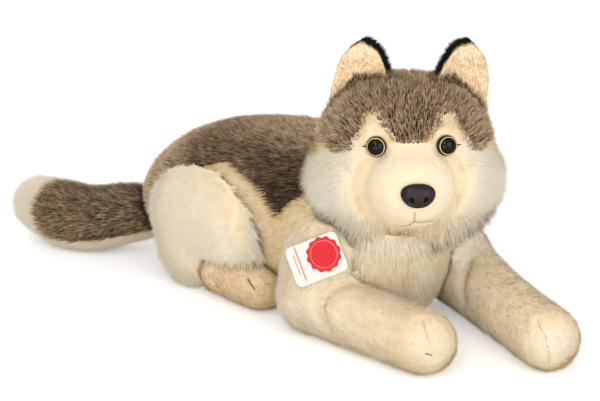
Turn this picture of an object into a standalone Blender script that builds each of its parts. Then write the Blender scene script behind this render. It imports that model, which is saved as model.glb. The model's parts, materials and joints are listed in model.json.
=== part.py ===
"""Lying plush wolf: stuffed body, turned head, four legs, brush tail and a folded hang tag.

Metres, +Z up. +X points from the rump to the chest, -Y is the side of the wolf's right legs.
The origin lies on the table, in the middle of the flat of the belly.
Each stuffed part is one closed form. Parts that are sewn together keep a seam gap, because a
grown copy of one form is cut out of its neighbour.
"""

import math

import bmesh
import bpy
from mathutils import Matrix, Vector
from mathutils.bvhtree import BVHTree

mm = 0.001

# Gaps and skins
seam_gap = 0.3 * mm
panel_thickness = 3.0 * mm
table_depth = 60.0 * mm
flat_angle = math.radians(2.0)

# Body: the spine runs straight from the rump, then bends towards the wolf's right
body_length = 245.0 * mm
body_width = 104.0 * mm
body_height = 118.0 * mm
belly_sink = 5.0 * mm
rump_x = -121.0 * mm
bend_start = 137.0 * mm
chest_turn = math.radians(18)
shoulder_line = 199.0 * mm

# Dark saddle, seen from its side: offsets ahead of the middle of the thigh, heights as shares of the body
saddle_back = 30.0 * mm
saddle_rump = 28.0 * mm
saddle_hip = 14.0 * mm
saddle_flank = 46.0 * mm
saddle_point = 68.0 * mm
saddle_front = 78.0 * mm
saddle_withers = 104.0 * mm
saddle_neck = 130.0 * mm
saddle_top = 30.0 * mm

# Head
head_forward = 24.0 * mm
head_side = 3.0 * mm
head_lift = 121.0 * mm
head_yaw = math.radians(-47)
head_pitch = math.radians(5)
skull_width = 112.0 * mm
skull_height = 88.0 * mm
skull_depth = 96.0 * mm
cheek_width = 130.0 * mm
ruff_drop = 56.0 * mm
muzzle_width = 58.0 * mm
muzzle_height = 50.0 * mm
muzzle_length = 64.0 * mm
muzzle_reach = 70.0 * mm
muzzle_drop = 13.0 * mm
skull_rise = 5.0 * mm
cheek_radius = 38.0 * mm
cheek_round = 32.0 * mm
cheek_drop = 17.0 * mm
cheek_ahead = 3.0 * mm
ruff_height = 36.0 * mm
ruff_round = 33.0 * mm
chin_width = 50.0 * mm
chin_height = 28.0 * mm
chin_depth = 48.0 * mm
chin_drop = 29.0 * mm
chin_ahead = 26.0 * mm
nape_width = 100.0 * mm
nape_height = 80.0 * mm
nape_depth = 68.0 * mm
nape_drop = 16.0 * mm
nape_behind = 16.0 * mm

# Eyes and nose, each with a shank and a lock washer behind the cloth
eye_diameter = 13.0 * mm
eye_spacing = 44.0 * mm
eye_height = 12.0 * mm
eye_dome = 5.0 * mm
nose_width = 21.0 * mm
nose_height = 15.0 * mm
nose_depth = 9.0 * mm
nose_drop = 13.0 * mm
nose_shift = 1.5 * mm
shank_diameter = 4.0 * mm
shank_length = 13.0 * mm
washer_diameter = 13.0 * mm
washer_thickness = 2.0 * mm
washer_depth = 7.0 * mm
washer_sides = 12

# Ears
ear_height = 40.5 * mm
ear_root = 11.0 * mm
ear_width = 39.0 * mm
ear_shift = 2.0 * mm
ear_cloth = 3.0 * mm
ear_cup = 6.5 * mm
ear_tip_back = 4.0 * mm
ear_spacing = 58.0 * mm
ear_lift = 28.0 * mm
ear_rim = 2.5 * mm
ear_lean_right = math.radians(2)
ear_lean_left = math.radians(19)
ear_toe_out = math.radians(14)

# Brows: the pale spots above the eyes, and the crown's edge around them
temple_height = 5.5 * mm
brow_half_width = 8.5 * mm
brow_rise = 12.0 * mm
brow_apex = 1.1
outer_brow_reach = 11.0 * mm
brow_foot = 7.0 * mm
temple_slope = 8.0 * mm
temple_step = 3.0 * mm
peak_half_width = 9.0 * mm
peak_height = 3.0 * mm
nape_half_width = 34.0 * mm
nape_low = 48.0 * mm
nape_shoulder = 12.0 * mm

# Forelegs, measured from the shoulder line in the frame of the turned chest
shoulder_ahead = 4.0 * mm
shoulder_side = 42.0 * mm
shoulder_height = 50.0 * mm
shoulder_radius = 29.0 * mm
elbow_side_right = 50.0 * mm
elbow_side_left = 57.0 * mm
elbow_ahead_right = 2.0 * mm
elbow_ahead_left = 15.0 * mm
elbow_radius = 26.0 * mm
shoulder_top = 20.0 * mm
shoulder_inward = 14.0 * mm
foreleg_radius = 21.5 * mm
paw_radius = 21.5 * mm
foreleg_reach_right = 93.0 * mm
foreleg_reach_left = 114.0 * mm
foreleg_swing_right = math.radians(14)
foreleg_swing_left = math.radians(8)

# Hind legs
thigh_length = 110.0 * mm
thigh_height = 80.0 * mm
thigh_width = 50.0 * mm
thigh_lift = 50.0 * mm
thigh_x = -36.0 * mm
thigh_inset = 13.0 * mm
knee_out = 4.0 * mm
heel_height = 24.0 * mm
heel_radius = 27.0 * mm
hind_foot_length = 74.0 * mm
hind_foot_width = 38.0 * mm
hind_foot_height = 35.0 * mm
hind_foot_x = -4.0 * mm
hind_foot_out = -5.0 * mm
hind_foot_splay = math.radians(3)

# Tail
tail_radius = 24.0 * mm
tail_tip_radius = 20.0 * mm
tail_root_inside = 22.0 * mm
tail_root_right = 8.0 * mm
tail_root_height = 34.0 * mm
tail_lean_behind = 11.0 * mm
tail_lean_right = 30.0 * mm
tail_lean_height = 27.0 * mm
tail_bend_behind = 28.0 * mm
tail_bend_right = 43.0 * mm
tail_sweep_behind = 48.0 * mm
tail_sweep_right = 50.0 * mm
tail_end_behind = 74.0 * mm
tail_end_right = 51.0 * mm
tail_end_rise = 2.0 * mm
tail_settle = 1.0 * mm

# Dark stripe on the tail, seen from its right side, behind the rump's end
stripe_end = 58.0 * mm
stripe_end_height = 30.0 * mm
stripe_corner = 52.0 * mm
stripe_corner_height = 15.0 * mm
stripe_low = 30.0 * mm
stripe_low_height = 11.5 * mm
stripe_rise = 4.0 * mm
stripe_rise_height = 16.0 * mm
stripe_root = 34.0 * mm
stripe_root_height = 27.0 * mm
stripe_reach = 120.0 * mm

# Hang tag, a folded card that lies on the right shoulder
tag_length = 35.0 * mm
tag_width = 26.0 * mm
tag_card = 0.5 * mm
tag_opening = 1.0 * mm
tag_corner = 3.5 * mm
tag_fold = 1.2 * mm
tag_azimuth = math.radians(-64)
tag_tilt = math.radians(18)
tag_roll = math.radians(26)


def clear_scene():
    for item in list(bpy.data.objects):
        bpy.data.objects.remove(item, do_unlink=True)


def make_material(name, colour, roughness, metallic=0.0):
    material = bpy.data.materials.new(name)
    material.use_nodes = True
    shader = material.node_tree.nodes["Principled BSDF"]
    shader.inputs["Base Color"].default_value = (*colour, 1.0)
    shader.inputs["Roughness"].default_value = roughness
    shader.inputs["Metallic"].default_value = metallic
    return material


def make_object(name, built, material=None):
    """Turn a bmesh into a named object whose faces point outwards."""
    bmesh.ops.remove_doubles(built, verts=built.verts, dist=0.00001)
    bmesh.ops.recalc_face_normals(built, faces=built.faces)
    mesh = bpy.data.meshes.new(name)
    built.to_mesh(mesh)
    built.free()
    mesh.shade_smooth()
    item = bpy.data.objects.new(name, mesh)
    bpy.context.collection.objects.link(item)
    if material:
        mesh.materials.append(material)
    return item


def copy_of(source, name):
    item = bpy.data.objects.new(name, source.data.copy())
    bpy.context.collection.objects.link(item)
    return item


def grown(source, distance):
    """A helper copy of a form with every vertex moved out along its normal."""
    item = copy_of(source, source.name + "_grown")
    built = bmesh.new()
    built.from_mesh(item.data)
    built.normal_update()
    moves = [vertex.normal * distance for vertex in built.verts]
    for vertex, move in zip(built.verts, moves):
        vertex.co += move
    built.to_mesh(item.data)
    built.free()
    return item


def remove(*items):
    for item in items:
        bpy.data.objects.remove(item, do_unlink=True)


def boolean_result(target, tool, operation, solver):
    """The mesh that one Boolean modifier gives, and whether it is a closed solid."""
    modifier = target.modifiers.new(operation.lower(), "BOOLEAN")
    modifier.operation = operation
    modifier.solver = solver
    modifier.object = tool
    bpy.context.view_layer.update()
    graph = bpy.context.evaluated_depsgraph_get()
    result = bpy.data.meshes.new_from_object(target.evaluated_get(graph))
    target.modifiers.clear()
    built = bmesh.new()
    built.from_mesh(result)
    closed = len(built.faces) > 0 and all(len(edge.link_faces) == 2 for edge in built.edges)
    built.free()
    return result, closed


def combine(target, tool, operation="DIFFERENCE"):
    """Apply one Boolean to the target and discard the tool."""
    for item in (target, tool):
        triangulate(item)
    result, closed = boolean_result(target, tool, operation, "EXACT")
    if not closed:
        result, closed = boolean_result(target, tool, operation, "MANIFOLD")
    target.data = result
    remove(tool)
    tidy_mesh(target)
    return target


def triangulate(target):
    built = bmesh.new()
    built.from_mesh(target.data)
    bmesh.ops.triangulate(built, faces=built.faces)
    built.to_mesh(target.data)
    built.free()


def tidy_mesh(target):
    """Merge the slivers and near-flat facets that a Boolean leaves and keep the largest body."""
    built = bmesh.new()
    built.from_mesh(target.data)
    bmesh.ops.remove_doubles(built, verts=built.verts, dist=0.00005)
    bmesh.ops.dissolve_degenerate(built, edges=built.edges, dist=0.00005)
    keep_largest(built)
    bmesh.ops.dissolve_limit(built, angle_limit=flat_angle, verts=built.verts, edges=built.edges)
    bmesh.ops.triangulate(built, faces=built.faces)
    built.to_mesh(target.data)
    built.free()
    target.data.shade_smooth()


def keep_largest(built):
    """Delete the offcuts that a cut leaves beside the main body."""
    pieces = []
    unseen = set(built.verts)
    while unseen:
        front = [unseen.pop()]
        piece = set(front)
        while front:
            vertex = front.pop()
            for edge in vertex.link_edges:
                other = edge.other_vert(vertex)
                if other in unseen:
                    unseen.discard(other)
                    piece.add(other)
                    front.append(other)
        pieces.append(piece)
    pieces.sort(key=len)
    for piece in pieces[:-1]:
        bmesh.ops.delete(built, geom=list(piece), context="VERTS")


def box(name, low, high):
    built = bmesh.new()
    bmesh.ops.create_cube(built, size=1.0)
    low = Vector(low)
    high = Vector(high)
    for vertex in built.verts:
        share = vertex.co + Vector((0.5, 0.5, 0.5))
        vertex.co = Vector(low[i] + (high[i] - low[i]) * share[i] for i in range(3))
    return make_object(name, built)


def table_block():
    reach = 600.0 * mm
    return box("table_block", (-reach, -reach, -table_depth), (reach, reach, 0.0))


def set_down(item):
    """Flatten what lies below the table."""
    return combine(item, table_block())


def smooth_path(points, count):
    """Points evenly spread in parameter along a Catmull-Rom curve through the given ones."""
    points = [Vector(point) for point in points]
    padded = [points[0] * 2 - points[1], *points, points[-1] * 2 - points[-2]]
    path = []
    spans = len(points) - 1
    for step in range(count + 1):
        place = min(step / count * spans, spans - 1e-6)
        index = int(place)
        t = place - index
        a, b, c, d = padded[index : index + 4]
        path.append(
            0.5
            * (
                2 * b
                + (c - a) * t
                + (2 * a - 5 * b + 4 * c - d) * t * t
                + (3 * b - a - 3 * c + d) * t * t * t
            )
        )
    return path


def smooth_values(values, count):
    line = smooth_path([(value, 0.0, 0.0) for value in values], count)
    return [point.x for point in line]


def loft(name, centres, half_widths, half_heights, sides, squareness=2.0):
    """A stuffed tube: superellipse rings square to the path, with a domed pole at each end."""
    built = bmesh.new()
    rings = []
    last = len(centres) - 1
    side = (centres[last] - centres[0]).cross(Vector((0, 0, 1))).normalized()
    for index, centre in enumerate(centres):
        ahead = centres[min(index + 1, last)]
        behind = centres[max(index - 1, 0)]
        direction = (ahead - behind).normalized()
        side = (side - direction * side.dot(direction)).normalized()
        rise = side.cross(direction).normalized()
        ring = []
        for step in range(sides):
            angle = 2 * math.pi * step / sides
            across = math.copysign(abs(math.cos(angle)) ** (2 / squareness), math.cos(angle))
            upward = math.copysign(abs(math.sin(angle)) ** (2 / squareness), math.sin(angle))
            offset = side * across * half_widths[index] + rise * upward * half_heights[index]
            ring.append(built.verts.new(centre + offset))
        rings.append(ring)
    for first, second in zip(rings, rings[1:]):
        for step in range(sides):
            after = (step + 1) % sides
            built.faces.new((first[step], first[after], second[after], second[step]))
    for ring, near, far in ((rings[0], 0, 1), (rings[-1], last, last - 1)):
        outward = (centres[near] - centres[far]).normalized()
        pole = built.verts.new(centres[near] + outward * half_widths[near] * 0.2)
        for step in range(sides):
            built.faces.new((ring[step], ring[(step + 1) % sides], pole))
    return make_object(name, built)


def limb(name, points, radii, steps, sides, flatten=1.0):
    """A round-ended limb through a few points, each with its own radius."""
    centres = smooth_path(points, steps)
    widths = smooth_values(radii, steps)
    dome = (0.98, 0.88, 0.68, 0.36)
    start = (centres[0] - centres[1]).normalized()
    end = (centres[-1] - centres[-2]).normalized()
    first = [
        (centres[0] + start * widths[0] * math.sqrt(1 - share * share), widths[0] * share)
        for share in reversed(dome)
    ]
    closing = [
        (centres[-1] + end * widths[-1] * math.sqrt(1 - share * share), widths[-1] * share)
        for share in dome
    ]
    middle = list(zip(centres, widths))
    stations = first + middle + closing
    line = [station[0] for station in stations]
    wide = [station[1] for station in stations]
    high = [radius * flatten for radius in wide]
    return loft(name, line, wide, high, sides)


def exit_distance(direction, centre, radii):
    """How far a ray from the origin runs before it leaves an ellipsoid, or 0 if it misses."""
    scaled = Vector(direction[i] / radii[i] for i in range(3))
    offset = Vector(-centre[i] / radii[i] for i in range(3))
    a = scaled.dot(scaled)
    b = scaled.dot(offset)
    c = offset.dot(offset) - 1
    root = b * b - a * c
    if root <= 0:
        return 0.0
    return max((-b + math.sqrt(root)) / a, 0.0)


def lobed_form(name, lobes, cuts, blend, placement):
    """A stuffed form made of ellipsoid lobes that melt into each other around one centre."""
    built = bmesh.new()
    bmesh.ops.create_cube(built, size=2.0)
    bmesh.ops.subdivide_edges(built, edges=built.edges, cuts=cuts, use_grid_fill=True)
    for vertex in built.verts:
        x, y, z = (math.tan(value * math.pi / 4) for value in vertex.co)
        direction = Vector((x, y, z)).normalized()
        total = sum(exit_distance(direction, centre, radii) ** blend for centre, radii in lobes)
        vertex.co = placement @ (direction * total ** (1 / blend))
    return make_object(name, built)


def turned(name, profile, sides, placement):
    """A closed turned solid: the profile runs from axis to axis as (radius, height)."""
    built = bmesh.new()
    rows = []
    for radius, height in profile:
        if radius < 1e-6:
            rows.append([built.verts.new(placement @ Vector((0, 0, height)))])
            continue
        row = []
        for step in range(sides):
            angle = 2 * math.pi * step / sides
            place = Vector((radius * math.cos(angle), radius * math.sin(angle), height))
            row.append(built.verts.new(placement @ place))
        rows.append(row)
    for first, second in zip(rows, rows[1:]):
        for step in range(sides):
            after = (step + 1) % sides
            corners = [first[step % len(first)], first[after % len(first)]]
            corners += [second[after % len(second)], second[step % len(second)]]
            corners = list(dict.fromkeys(corners))
            if len(corners) > 2:
                built.faces.new(corners)
    return make_object(name, built)


def prism(name, outline, low, high, placement):
    """Extrude a flat outline, drawn in the local XY plane, from low to high along local Z."""
    built = bmesh.new()
    floor = [built.verts.new(placement @ Vector((x, y, low))) for x, y in outline]
    roof = [built.verts.new(placement @ Vector((x, y, high))) for x, y in outline]
    built.faces.new(floor)
    built.faces.new(roof)
    for index in range(len(outline)):
        after = (index + 1) % len(outline)
        built.faces.new((floor[index], floor[after], roof[after], roof[index]))
    return make_object(name, built)


def inlay(name, form, carrier, region, wider_region, material):
    """Cut a fur panel out of the skin of a form and rebate its carrier to take it."""
    panel = combine(copy_of(form, name), region, "INTERSECT")
    combine(panel, grown(form, -panel_thickness))
    rebate = combine(grown(form, panel_thickness), wider_region, "INTERSECT")
    combine(rebate, grown(form, -panel_thickness - seam_gap))
    combine(carrier, rebate)
    panel.data.materials.clear()
    panel.data.materials.append(material)
    return panel


# Places that several parts share


def spine_point(distance):
    """Where the spine is, and its heading, a given way from the rump."""
    straight = min(distance, bend_start)
    x = rump_x + straight
    y = 0.0
    turn = 0.0
    if distance > bend_start:
        curvature = chest_turn / (body_length - bend_start)
        turn = curvature * (distance - bend_start)
        x += math.sin(turn) / curvature
        y -= (1 - math.cos(turn)) / curvature
    return Vector((x, y, 0.0)), turn


def chest_place(forward, left, height):
    """World place of a point given from the shoulder line in the turned chest's frame."""
    base, turn = spine_point(shoulder_line)
    ahead = Vector((math.cos(chest_turn), -math.sin(chest_turn), 0.0))
    aside = Vector((math.sin(chest_turn), math.cos(chest_turn), 0.0))
    return base + ahead * forward + aside * left + Vector((0, 0, height))


def head_placement():
    """Head frame: local X to the wolf's left, local Y up, local Z out of the face."""
    centre = chest_place(head_forward, head_side, head_lift)
    flat = Vector((math.cos(head_yaw), math.sin(head_yaw), 0.0))
    ahead = flat * math.cos(head_pitch) + Vector((0, 0, math.sin(head_pitch)))
    left = Vector((0, 0, 1)).cross(flat)
    rise = ahead.cross(left)
    turn = Matrix((left, rise, ahead)).transposed().to_4x4()
    return Matrix.Translation(centre) @ turn


def surface_hit(form, origin, direction):
    """Where a ray meets a form, with the normal there."""
    built = bmesh.new()
    built.from_mesh(form.data)
    tree = BVHTree.FromBMesh(built)
    place, normal, _, _ = tree.ray_cast(origin, direction)
    built.free()
    return place, normal


def facing(place, normal):
    """A frame at a place whose local Z follows the normal."""
    return Matrix.Translation(place) @ normal.to_track_quat("Z", "Y").to_matrix().to_4x4()


# Body


def torso_form():
    """Full body with a round rump, a level back and a deep chest between the forelegs."""
    length_shares = (0.0, 0.035, 0.11, 0.21, 0.35, 0.5, 0.65, 0.78, 0.89, 0.955, 1.0)
    width_shares = (0.22, 0.52, 0.8, 0.96, 1.0, 0.98, 0.99, 0.97, 0.84, 0.62, 0.24)
    height_shares = (0.18, 0.4, 0.62, 0.8, 0.92, 0.98, 1.0, 0.97, 0.86, 0.7, 0.3)
    centre_shares = (0.3, 0.32, 0.36, 0.41, 0.45, 0.475, 0.485, 0.475, 0.43, 0.42, 0.41)
    steps = 14
    centres = []
    for share, lift in zip(smooth_values(length_shares, steps), smooth_values(centre_shares, steps)):
        place, _ = spine_point(share * body_length)
        centres.append(place + Vector((0, 0, lift * body_height)))
    tall = body_height + belly_sink
    widths = [share * body_width / 2 for share in smooth_values(width_shares, steps)]
    heights = [share * tall / 2 for share in smooth_values(height_shares, steps)]
    return loft("torso_form", centres, widths, heights, 20, squareness=2.25)


def saddle_region(name, grow):
    """Side view of the dark saddle: from the tail along the thigh to a point behind the elbow."""
    rump_low = 0.16 * body_height
    outline = (
        (rump_x - saddle_back, rump_low - grow),
        (rump_x + saddle_rump, 0.34 * body_height - grow),
        (thigh_x - saddle_hip, 0.7 * body_height - grow),
        (thigh_x + saddle_hip, 0.79 * body_height - grow),
        (thigh_x + saddle_flank, 0.72 * body_height - grow),
        (thigh_x + saddle_point, 0.6 * body_height - grow),
        (thigh_x + saddle_front + grow, 0.7 * body_height),
        (thigh_x + saddle_withers + grow, 0.85 * body_height),
        (thigh_x + saddle_neck + grow, body_height + saddle_top),
        (rump_x - saddle_back, body_height + saddle_top),
    )
    side_view = Matrix(((1, 0, 0, 0), (0, 0, 1, 0), (0, 1, 0, 0), (0, 0, 0, 1)))
    return prism(name, outline, -body_width, body_width, side_view)


def build_body(form, head, materials):
    torso = copy_of(form, "torso")
    saddle = inlay(
        "saddle_panel",
        form,
        torso,
        saddle_region("saddle_region", 0.0),
        saddle_region("saddle_rebate", seam_gap),
        materials["brown_fur"],
    )
    for item in (torso, saddle):
        combine(item, grown(head, seam_gap))
        set_down(item)
    torso.data.materials.append(materials["cream_fur"])
    return torso, saddle


# Head


def head_form():
    skull_radii = (skull_width / 2, skull_height / 2, skull_depth / 2)
    ruff_radii = (cheek_width * 0.47, ruff_height, ruff_round)
    cheek_radii = (cheek_radius, cheek_round, cheek_round)
    cheek_out = cheek_width / 2 - cheek_radius
    muzzle_radii = (muzzle_width / 2, muzzle_height / 2, muzzle_length / 2)
    chin_radii = (chin_width / 2, chin_height / 2, chin_depth / 2)
    nape_radii = (nape_width / 2, nape_height / 2, nape_depth / 2)
    lobes = (
        ((0.0, skull_rise, 0.0), skull_radii),
        ((0.0, ruff_height - ruff_drop, 0.0), ruff_radii),
        ((cheek_out, -cheek_drop, cheek_ahead), cheek_radii),
        ((-cheek_out, -cheek_drop, cheek_ahead), cheek_radii),
        ((0.0, -muzzle_drop, muzzle_reach - muzzle_length / 2), muzzle_radii),
        ((0.0, -chin_drop, chin_ahead), chin_radii),
        ((0.0, -nape_drop, -nape_behind), nape_radii),
    )
    return lobed_form("head_form", lobes, 8, 16.0, head_placement())


def brow_arc(side, count):
    """The round top of the pale spot above one eye, from its outer to its inner foot."""
    half = brow_half_width
    middle = side * eye_spacing / 2
    centre_height = eye_height + brow_rise
    points = []
    for step in range(count + 1):
        angle = math.pi * step / count
        if side > 0:
            angle = math.pi - angle
        across = middle - half * math.cos(angle)
        points.append((across, centre_height + brow_apex * half * math.sin(angle)))
    return points


def crown_region(name, grow):
    """Front view of the dark crown: temples, two round brow notches and a peak between the eyes."""
    reach = cheek_width
    temple = temple_height - grow
    outer_brow = eye_spacing / 2 + outer_brow_reach
    corner = (outer_brow, eye_height + brow_foot - grow)
    slope = (outer_brow + temple_slope, temple + temple_step)
    side = (skull_width / 2, temple)
    edge = (reach, temple)
    peak = (peak_half_width, eye_height + peak_height - grow)
    outline = [(-x, y) for x, y in (edge, side, slope, corner)]
    outline += [(x, y - grow) for x, y in brow_arc(-1, 8)]
    outline += [(-peak[0], peak[1]), peak]
    outline += [(x, y - grow) for x, y in reversed(brow_arc(1, 8))]
    outline += [corner, slope, side, edge, (reach, reach), (-reach, reach)]
    front = prism(name, outline, 0.0, reach, head_placement())
    nape = nape_half_width + grow
    shoulder = (nape + temple_step, temple_height - nape_shoulder)
    half = [edge, side, shoulder, (nape, -nape_low - grow)]
    back_outline = [(-x, y) for x, y in half] + list(reversed(half)) + [(reach, reach), (-reach, reach)]
    back = prism(name + "_back", back_outline, -reach, panel_thickness / 6 + grow, head_placement())
    return combine(front, back, "UNION")


def build_head(form, materials):
    head = copy_of(form, "head")
    crown = inlay(
        "crown_panel",
        form,
        head,
        crown_region("crown_region", 0.0),
        crown_region("crown_rebate", seam_gap),
        materials["brown_fur"],
    )
    head.data.materials.append(materials["cream_fur"])
    return head, crown


def fitting_profile(radius, dome, flange):
    """Half section of a glossy dome with a flat back and a round shank."""
    shank = shank_diameter / 2
    points = [(0.0, dome)]
    for step in range(1, 7):
        angle = math.pi / 2 * step / 6
        points.append((radius * math.sin(angle), dome * math.cos(angle)))
    points += [(radius, -flange), (shank, -flange), (shank, -shank_length), (0.0, -shank_length)]
    return points


def washer(name, frame, material):
    """A lock washer on the shank, inside the head."""
    inner = shank_diameter / 2 + seam_gap
    outer = washer_diameter / 2
    built = bmesh.new()
    rings = []
    near = -washer_depth
    far = near - washer_thickness
    for radius, height in ((inner, near), (outer, near), (outer, far), (inner, far)):
        ring = []
        for step in range(washer_sides):
            angle = 2 * math.pi * step / washer_sides
            place = Vector((radius * math.cos(angle), radius * math.sin(angle), height))
            ring.append(built.verts.new(frame @ place))
        rings.append(ring)
    for index, ring in enumerate(rings):
        other = rings[(index + 1) % len(rings)]
        for step in range(washer_sides):
            after = (step + 1) % washer_sides
            built.faces.new((ring[step], ring[after], other[after], other[step]))
    return make_object(name, built, material)


def washer_pocket(frame):
    """The room that a shank and its washer take inside the stuffing."""
    shank = shank_diameter / 2 + seam_gap
    pocket = washer_diameter / 2 + seam_gap
    near = -washer_depth + seam_gap
    far = -washer_depth - washer_thickness - seam_gap
    profile = [
        (0.0, 1 * mm),
        (shank, 1 * mm),
        (shank, near),
        (pocket, near),
        (pocket, far),
        (shank, far),
        (shank, -shank_length - seam_gap),
        (0.0, -shank_length - seam_gap),
    ]
    return turned("washer_pocket", profile, washer_sides, frame)


def build_eye(name, side, form, head, materials):
    """A domed eye set a little into the cloth, square to the face."""
    placement = head_placement()
    turn = placement.to_3x3()
    start = placement @ Vector((side * eye_spacing / 2, eye_height, 2 * muzzle_reach))
    place, normal = surface_hit(form, start, turn @ Vector((0, 0, -1)))
    outward = (normal + turn @ Vector((0, 0, 1))).normalized()
    sunk = 1.0 * mm
    frame = facing(place - outward * sunk, outward)
    flange = 1.0 * mm
    radius = eye_diameter / 2
    eye = turned(name, fitting_profile(radius, eye_dome, flange), 20, frame)
    eye.data.materials.append(materials["black_gloss"])
    socket = [(0.0, 12 * mm), (radius + seam_gap, 12 * mm), (radius + seam_gap, -flange - seam_gap)]
    socket.append((0.0, -flange - seam_gap))
    combine(head, turned("eye_socket", socket, 20, frame))
    combine(head, washer_pocket(frame))
    ring = washer(name + "_washer", frame, materials["white_plastic"])
    return eye, ring


def nose_outline(width, height, count):
    """Front outline of the nose: broad above, narrower below."""
    points = []
    for step in range(count):
        angle = 2 * math.pi * step / count
        across = math.copysign(abs(math.cos(angle)) ** 0.85, math.cos(angle))
        upward = math.sin(angle)
        points.append((across * width / 2 * (1 + 0.16 * upward), upward * height / 2))
    return points


def nose_shell(name, grow, depth, frame):
    """The moulded nose: outline rings that close over a rounded front."""
    built = bmesh.new()
    levels = ((1.0, -0.35), (1.0, 0.1), (0.97, 0.4), (0.86, 0.7), (0.62, 0.9), (0.3, 0.98))
    rings = []
    for share, rise in levels:
        outline = nose_outline(nose_width + 2 * grow, nose_height + 2 * grow, 24)
        height = rise * depth if rise > 0 else rise * depth - grow
        ring = [built.verts.new(frame @ Vector((x * share, y * share, height))) for x, y in outline]
        rings.append(ring)
    for first, second in zip(rings, rings[1:]):
        for step in range(24):
            after = (step + 1) % 24
            built.faces.new((first[step], first[after], second[after], second[step]))
    built.faces.new(rings[0])
    built.faces.new(rings[-1])
    return make_object(name, built)


def build_nose(form, head, materials):
    placement = head_placement()
    turn = placement.to_3x3()
    start = placement @ Vector((nose_shift, -nose_drop, 2 * muzzle_reach))
    place, normal = surface_hit(form, start, turn @ Vector((0, 0, -1)))
    left = turn @ Vector((1, 0, 0))
    outward = (turn @ Vector((0, 0.16, 1))).normalized()
    rise = outward.cross(left)
    frame = Matrix.Translation(place) @ Matrix((left, rise, outward)).transposed().to_4x4()
    nose = nose_shell("nose", 0.0, nose_depth * 0.62, frame)
    for side in (-1, 1):
        spot = frame @ Vector((side * nose_width * 0.22, -nose_height * 0.2, nose_depth * 0.66))
        nostril = facing(spot, turn @ Vector((side * 0.55, -0.35, 1.0)))
        hole = [(0.0, 2 * mm), (1.7 * mm, 2 * mm), (1.3 * mm, -1.6 * mm), (0.0, -2.2 * mm)]
        combine(nose, turned("nostril", hole, 10, nostril))
    shank = shank_diameter / 2
    stem = [(0.0, 1 * mm), (shank, 1 * mm), (shank, -shank_length), (0.0, -shank_length)]
    combine(nose, turned("nose_stem", stem, washer_sides, frame), "UNION")
    nose.data.materials.append(materials["nose_plastic"])
    recess = nose_shell("nose_recess", seam_gap, nose_depth * 0.62, frame)
    combine(head, recess)
    combine(head, washer_pocket(frame))
    ring = washer("nose_washer", frame, materials["white_plastic"])
    return nose, ring


def ear_sheet(name, side, front, thickness, rim, lean):
    """One cloth layer of a cupped ear, rounded at its tip and rooted inside the head."""
    built = bmesh.new()
    rows = 10
    columns = 6
    height = ear_height + rim
    placement = head_placement()
    base = Vector((side * ear_spacing / 2 + ear_shift, ear_lift, 0.0))
    turn = Matrix.Rotation(-side * lean, 4, "Z") @ Matrix.Rotation(side * ear_toe_out, 4, "Y")
    frame = placement @ Matrix.Translation(base) @ turn
    layers = []
    for depth in (front, front - thickness):
        sheet = []
        for row in range(rows + 1):
            y = -ear_root + (height + ear_root) * row / rows
            up = min(max(y / height, 0.0), 1.0)
            root = max(-y / ear_root, 0.0)
            half = ear_width / 2 * (1 - up**2.9) ** 0.5 * (1 - 0.18 * up) + 0.6 * mm
            half *= 1 - 0.35 * root
            line = []
            for column in range(columns + 1):
                x = (2 * column / columns - 1) * half - side * rim
                cup = ear_cup * (2 * x / ear_width) ** 2
                tip = ear_tip_back * (y / ear_height) ** 2
                place = Vector((x, y, depth + cup - tip))
                line.append(built.verts.new(frame @ place))
            sheet.append(line)
        layers.append(sheet)
    front_sheet, back_sheet = layers
    for row in range(rows):
        for column in range(columns):
            for sheet in layers:
                built.faces.new(
                    (
                        sheet[row][column],
                        sheet[row][column + 1],
                        sheet[row + 1][column + 1],
                        sheet[row + 1][column],
                    )
                )
    edge = [(row, 0) for row in range(rows + 1)]
    edge += [(rows, column) for column in range(1, columns + 1)]
    edge += [(row, columns) for row in range(rows - 1, -1, -1)]
    edge += [(0, column) for column in range(columns - 1, 0, -1)]
    for index, (row, column) in enumerate(edge):
        next_row, next_column = edge[(index + 1) % len(edge)]
        built.faces.new(
            (
                front_sheet[row][column],
                front_sheet[next_row][next_column],
                back_sheet[next_row][next_column],
                back_sheet[row][column],
            )
        )
    return make_object(name, built)


def build_ear(label, side, lean, head, materials):
    lining = ear_sheet("ear_lining_" + label, side, 0.0, ear_cloth, 0.0, lean)
    back = ear_sheet("ear_back_" + label, side, -ear_cloth - seam_gap, ear_cloth, ear_rim, lean)
    for item, material in ((lining, "ear_lining"), (back, "black_fur")):
        combine(item, grown(head, seam_gap))
        item.data.materials.clear()
        item.data.materials.append(materials[material])
    return lining, back


# Legs and tail


def foreleg_form(label, side, ahead, aside, reach, swing):
    """Upper arm, elbow on the table and a straight forearm with a round paw."""
    elbow = (ahead, side * aside)
    heading = (math.cos(swing), -side * math.sin(swing))

    def along(distance, lift):
        return chest_place(elbow[0] + heading[0] * distance, elbow[1] + heading[1] * distance, lift)

    rest = 0.93
    elbow_place = along(0.0, elbow_radius * rest)
    upper_points = (
        chest_place(shoulder_ahead, side * (shoulder_side - shoulder_inward), shoulder_height + shoulder_top),
        chest_place(shoulder_ahead, side * shoulder_side, shoulder_height),
        elbow_place,
    )
    upper_radii = (shoulder_radius * 0.8, shoulder_radius, elbow_radius)
    lower_points = (
        elbow_place,
        along(reach * 0.34, foreleg_radius * (rest + 0.05)),
        along(reach * 0.67, foreleg_radius * rest),
        along(reach, paw_radius * rest),
    )
    lower_radii = (elbow_radius * 0.97, foreleg_radius * 1.05, foreleg_radius, paw_radius)
    upper_arm = limb("foreleg_form_" + label, upper_points, upper_radii, 4, 14)
    forearm = limb("forearm", lower_points, lower_radii, 7, 14)
    return combine(upper_arm, forearm, "UNION")


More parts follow.
